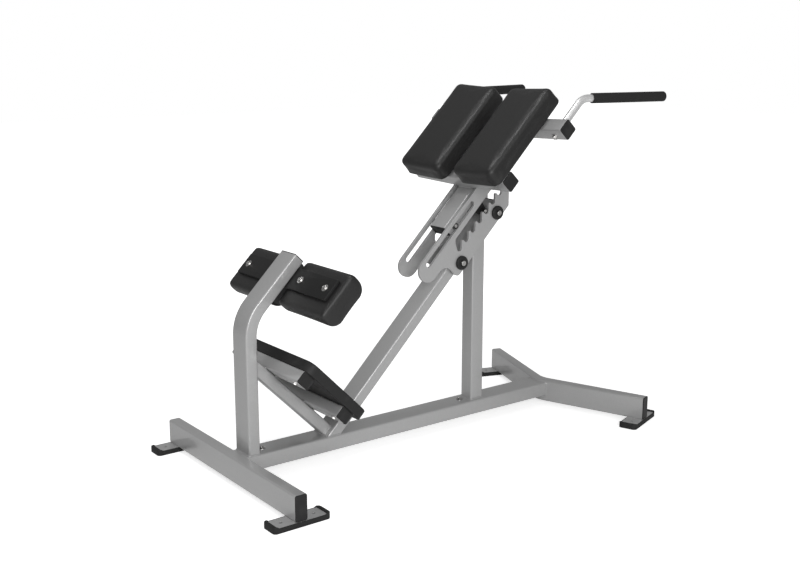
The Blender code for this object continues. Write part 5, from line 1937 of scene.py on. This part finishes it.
@dataclass
class AnkleUnit(Upholstery):
    """The plate under the rear upright's end, its bolts and its two padded rolls."""

    swell: float = 0.0018
    back: float = 0.016
    front: float = 0.038
    end_edge: float = 0.0055
    seam_depth: float = 0.0011
    seam_width: float = 0.0026
    plate_corner: float = 0.004
    plate_edge: float = 0.0018

    def shell(self, sizes: Array) -> Any:
        """One roll before it is filled.

        Its section has two small corners at the flat back and two large ones in front. Towards each end
        the section shrinks by edge * (1 - cos a) while it moves out by edge * sin a.

        Args:
            sizes: The roll's sizes on the slope.

        Returns:
            The shell, in its own place, with Y along it.
        """
        half, reach, _ = sizes / 2 - self.swell
        top, bottom = sizes[2] / 2 - GAP, self.swell - sizes[2] / 2
        draw, rise = round_edge(self.end_edge, 6)
        far = reach - self.end_edge + rise
        middle = np.linspace(-1, 1, 24)[1:-1] * far[0]
        insets = np.concatenate([draw[::-1], np.zeros(len(middle)), draw])
        rings = []
        for inset, y in rows(insets, np.concatenate([-far[::-1], middle, far])):
            x, up, down = half - inset, top - inset, bottom + inset
            back, front = self.back - inset / 2, self.front - inset
            corners = [(x, up, back), (-x, up, back), (-x, down, front), (x, down, front)]
            rings.append(np.insert(corner_ring(corners, 8, 6), 1, y, axis=1))
        return skin("ankle_roll_left", rings)

    def seams(self, pad: Any, ends: float) -> None:
        """Presses a fine seam round both ends: a point moves in by depth * exp(-(distance / width)²).

        Args:
            pad: The roll, in its own place.
            ends: The seams' Y.
        """
        points = coords(pad.data)
        away = np.abs(np.abs(points[:, 1:2]) - ends)
        bell = self.seam_depth * np.exp(-((away / self.seam_width) ** 2))
        points[:, [0, 2]] -= unit(points[:, [0, 2]]) * bell
        set_coords(pad.data, points)

    def rolls(self) -> None:
        """Both padded rolls."""
        low, high, middle = self.box("ankle_pad_left", self.slope)
        sizes = high - low
        left = self.shell(sizes)
        reach = sizes / 2 + (self.slack, self.slack, 0)
        hold = sizes[2] / 2 - 0.003
        self.softened(left, lambda height: height > hold, -reach - (0, 0, self.slack), reach)
        self.seams(left, sizes[1] / 2 - self.end_edge * 1.2)
        right = linked("ankle_roll_right", left.data.copy())
        for side, pad in zip(Side, (left, right)):
            self.laid(pad, side, self.slope.at(middle * (1, side.value, 1)), "ankle_pad")

    def mount(self) -> None:
        """The black mounting plate with broken edges, and the four bolts."""
        low, high, middle = self.box("ankle_plate", self.slope)
        length, width, thick = high - low
        place = self.slope.at((middle[0], 0, low[2]))
        profile = slab_profile(thick, self.plate_edge, 3)
        made = stacked("ankle_mount", place, (length, width), self.plate_corner, profile)
        self.put(made, Finish.BLACK, "ankle_plate")
        for spot in ("inner", "outer"):
            for side in Side:
                node = f"ankle_bolt_{spot}_{side.word}"
                x, y, _ = self.box(node, self.slope)[2]
                self.fasten(f"ankle_nut_{spot}_{side.word}", self.slope.at((x, y, high[2])), node)

    def build(self) -> None:
        """Builds the ankle unit."""
        self.mount()
        self.rolls()


@dataclass(frozen=True)
class Lamp:
    """A soft rectangular lamp."""

    name: str
    spot: Vec
    sizes: Sides
    power: float


@dataclass
class Studio:
    """The floor, the lights and the camera."""

    eye: Vec = (-2.2479, -2.8999, 1.3478)
    target: Vec = (-0.0717, 0.0, 0.5431)
    lens: float = 50.2
    sensor: float = 36.0
    floor_size: float = 30.0
    floor_glow: float = 0.62
    floor_tone: float = 0.86
    fade: tuple[float, float] = (0.9, 2.4)
    world_light: float = 0.33
    world_gloss: float = 0.30
    lamps: Sequence[Lamp] = (
        Lamp("key", (-1.9, -4.3, 2.0), (3.0, 2.4), 142.0),
        Lamp("band", (-0.8, 0.3, 4.1), (0.8, 0.8), 34.0),
        Lamp("over", (-1.0, -2.2, 4.0), (1.2, 1.2), 8.0),
    )

    def aimed(self, data: Any, spot: Vec) -> Any:
        """Puts a camera or a lamp at a spot, looking at the bench's middle.

        Args:
            data: The camera's or lamp's data.
            spot: Where it stands.

        Returns:
            The object.
        """
        made = linked(data.name, data)
        made.location = spot
        made.rotation_mode = "QUATERNION"
        made.rotation_quaternion = (Vector(self.target) - Vector(spot)).to_track_quat("-Z", "Y")
        return made

    def camera(self) -> None:
        """The camera at the photograph's place."""
        lens = bpy.data.cameras.new("camera")
        lens.lens = self.lens
        lens.sensor_width = self.sensor
        bpy.context.scene.camera = self.aimed(lens, self.eye)

    def light(self) -> None:
        """The lamps."""
        for lamp in self.lamps:
            data = bpy.data.lights.new(lamp.name, "AREA")
            data.shape = "RECTANGLE"
            data.size, data.size_y = lamp.sizes
            data.energy = lamp.power
            self.aimed(data, lamp.spot)

    def surroundings(self) -> None:
        """A world that lights softly, and looks white to the camera and through clear things."""
        graph = NodeGraph(bpy.data.worlds.new("studio"), "Background")
        rays = graph.node("ShaderNodeLightPath").outputs
        seen = graph.maths("MAXIMUM", rays["Is Camera Ray"], rays["Is Transmission Ray"])
        more = self.world_gloss - self.world_light
        glossy = graph.maths("MULTIPLY_ADD", rays["Is Glossy Ray"], more, self.world_light)
        strength = graph.maths("MAXIMUM", seen, glossy)
        bpy.context.scene.world = graph.finish(Color=(1, 1, 1, 1), Strength=strength)

    def floor(self) -> None:
        """A pale floor that keeps the bench's shadow, and looks white to the camera away from it."""
        half = self.floor_size / 2
        mesh = bpy.data.meshes.new("floor")
        corners = [(-half, -half, 0), (half, -half, 0), (half, half, 0), (-half, half, 0)]
        mesh.from_pydata(corners, [], [(0, 1, 2, 3)])
        made = linked("floor", mesh)
        graph = NodeGraph(bpy.data.materials.new("studio_floor"))
        seen = SocketExpr(graph, graph.node("ShaderNodeLightPath").outputs["Is Camera Ray"])
        away = graph.node("ShaderNodeVectorMath", {"operation": "LENGTH"}, {0: graph.place})
        far = SocketExpr(graph, away.outputs["Value"]).between(*self.fade)
        glow = seen * (self.floor_glow + far * (1.0 - self.floor_glow))
        pale = graph.finish(
            Base_Color=grey(self.floor_tone),
            Roughness=0.9,
            Specular_IOR_Level=0.1,
            Emission_Color=graph.shaded((1.0, 1.0, 1.0), glow),
            Emission_Strength=1.0,
        )
        mesh.materials.append(pale)

    def build(self) -> None:
        """Builds the studio."""
        bpy.context.scene.view_settings.view_transform = "Standard"
        self.camera()
        self.light()
        self.surroundings()
        self.floor()


def clear_scene() -> None:
    """Removes whatever the scene starts with."""
    for item in list(bpy.data.objects):
        bpy.data.objects.remove(item)


def dress_rest(layout: Layout, shop: Workshop, record: dict[str, Any]) -> None:
    """Dresses the nodes that still show, by the record's slots.

    Args:
        layout: The frame's nodes.
        shop: The finishes.
        record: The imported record.
    """
    finishes = {finish.value[1].value: finish for finish in reversed(Finish)}
    slots = {part["node"]: part["material_slot"] for part in record["subparts"]}
    for name, node in layout.nodes.items():
        if node.hide_render:
            continue
        node.data.materials.clear()
        node.data.materials.append(shop.materials[finishes[slots[name]]])
        LOG.info("%s: kept from the frame", name)


def main() -> None:
    """Builds the bench's looks in order."""
    logging.basicConfig(level=logging.INFO, format="%(name)s %(message)s")
    clear_scene()
    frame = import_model()
    layout = Layout(frame)
    shop = Workshop()
    Studio().build()
    for part in (Base, Uprights, FootRest, Rack, GuidePin, Carriage, Handles, AnkleUnit, HipPads):
        part(layout, shop).build()
    dress_rest(layout, shop, frame["record"])
    LOG.info("%d pieces made", shop.count)


if __name__ == "__main__":
    main()
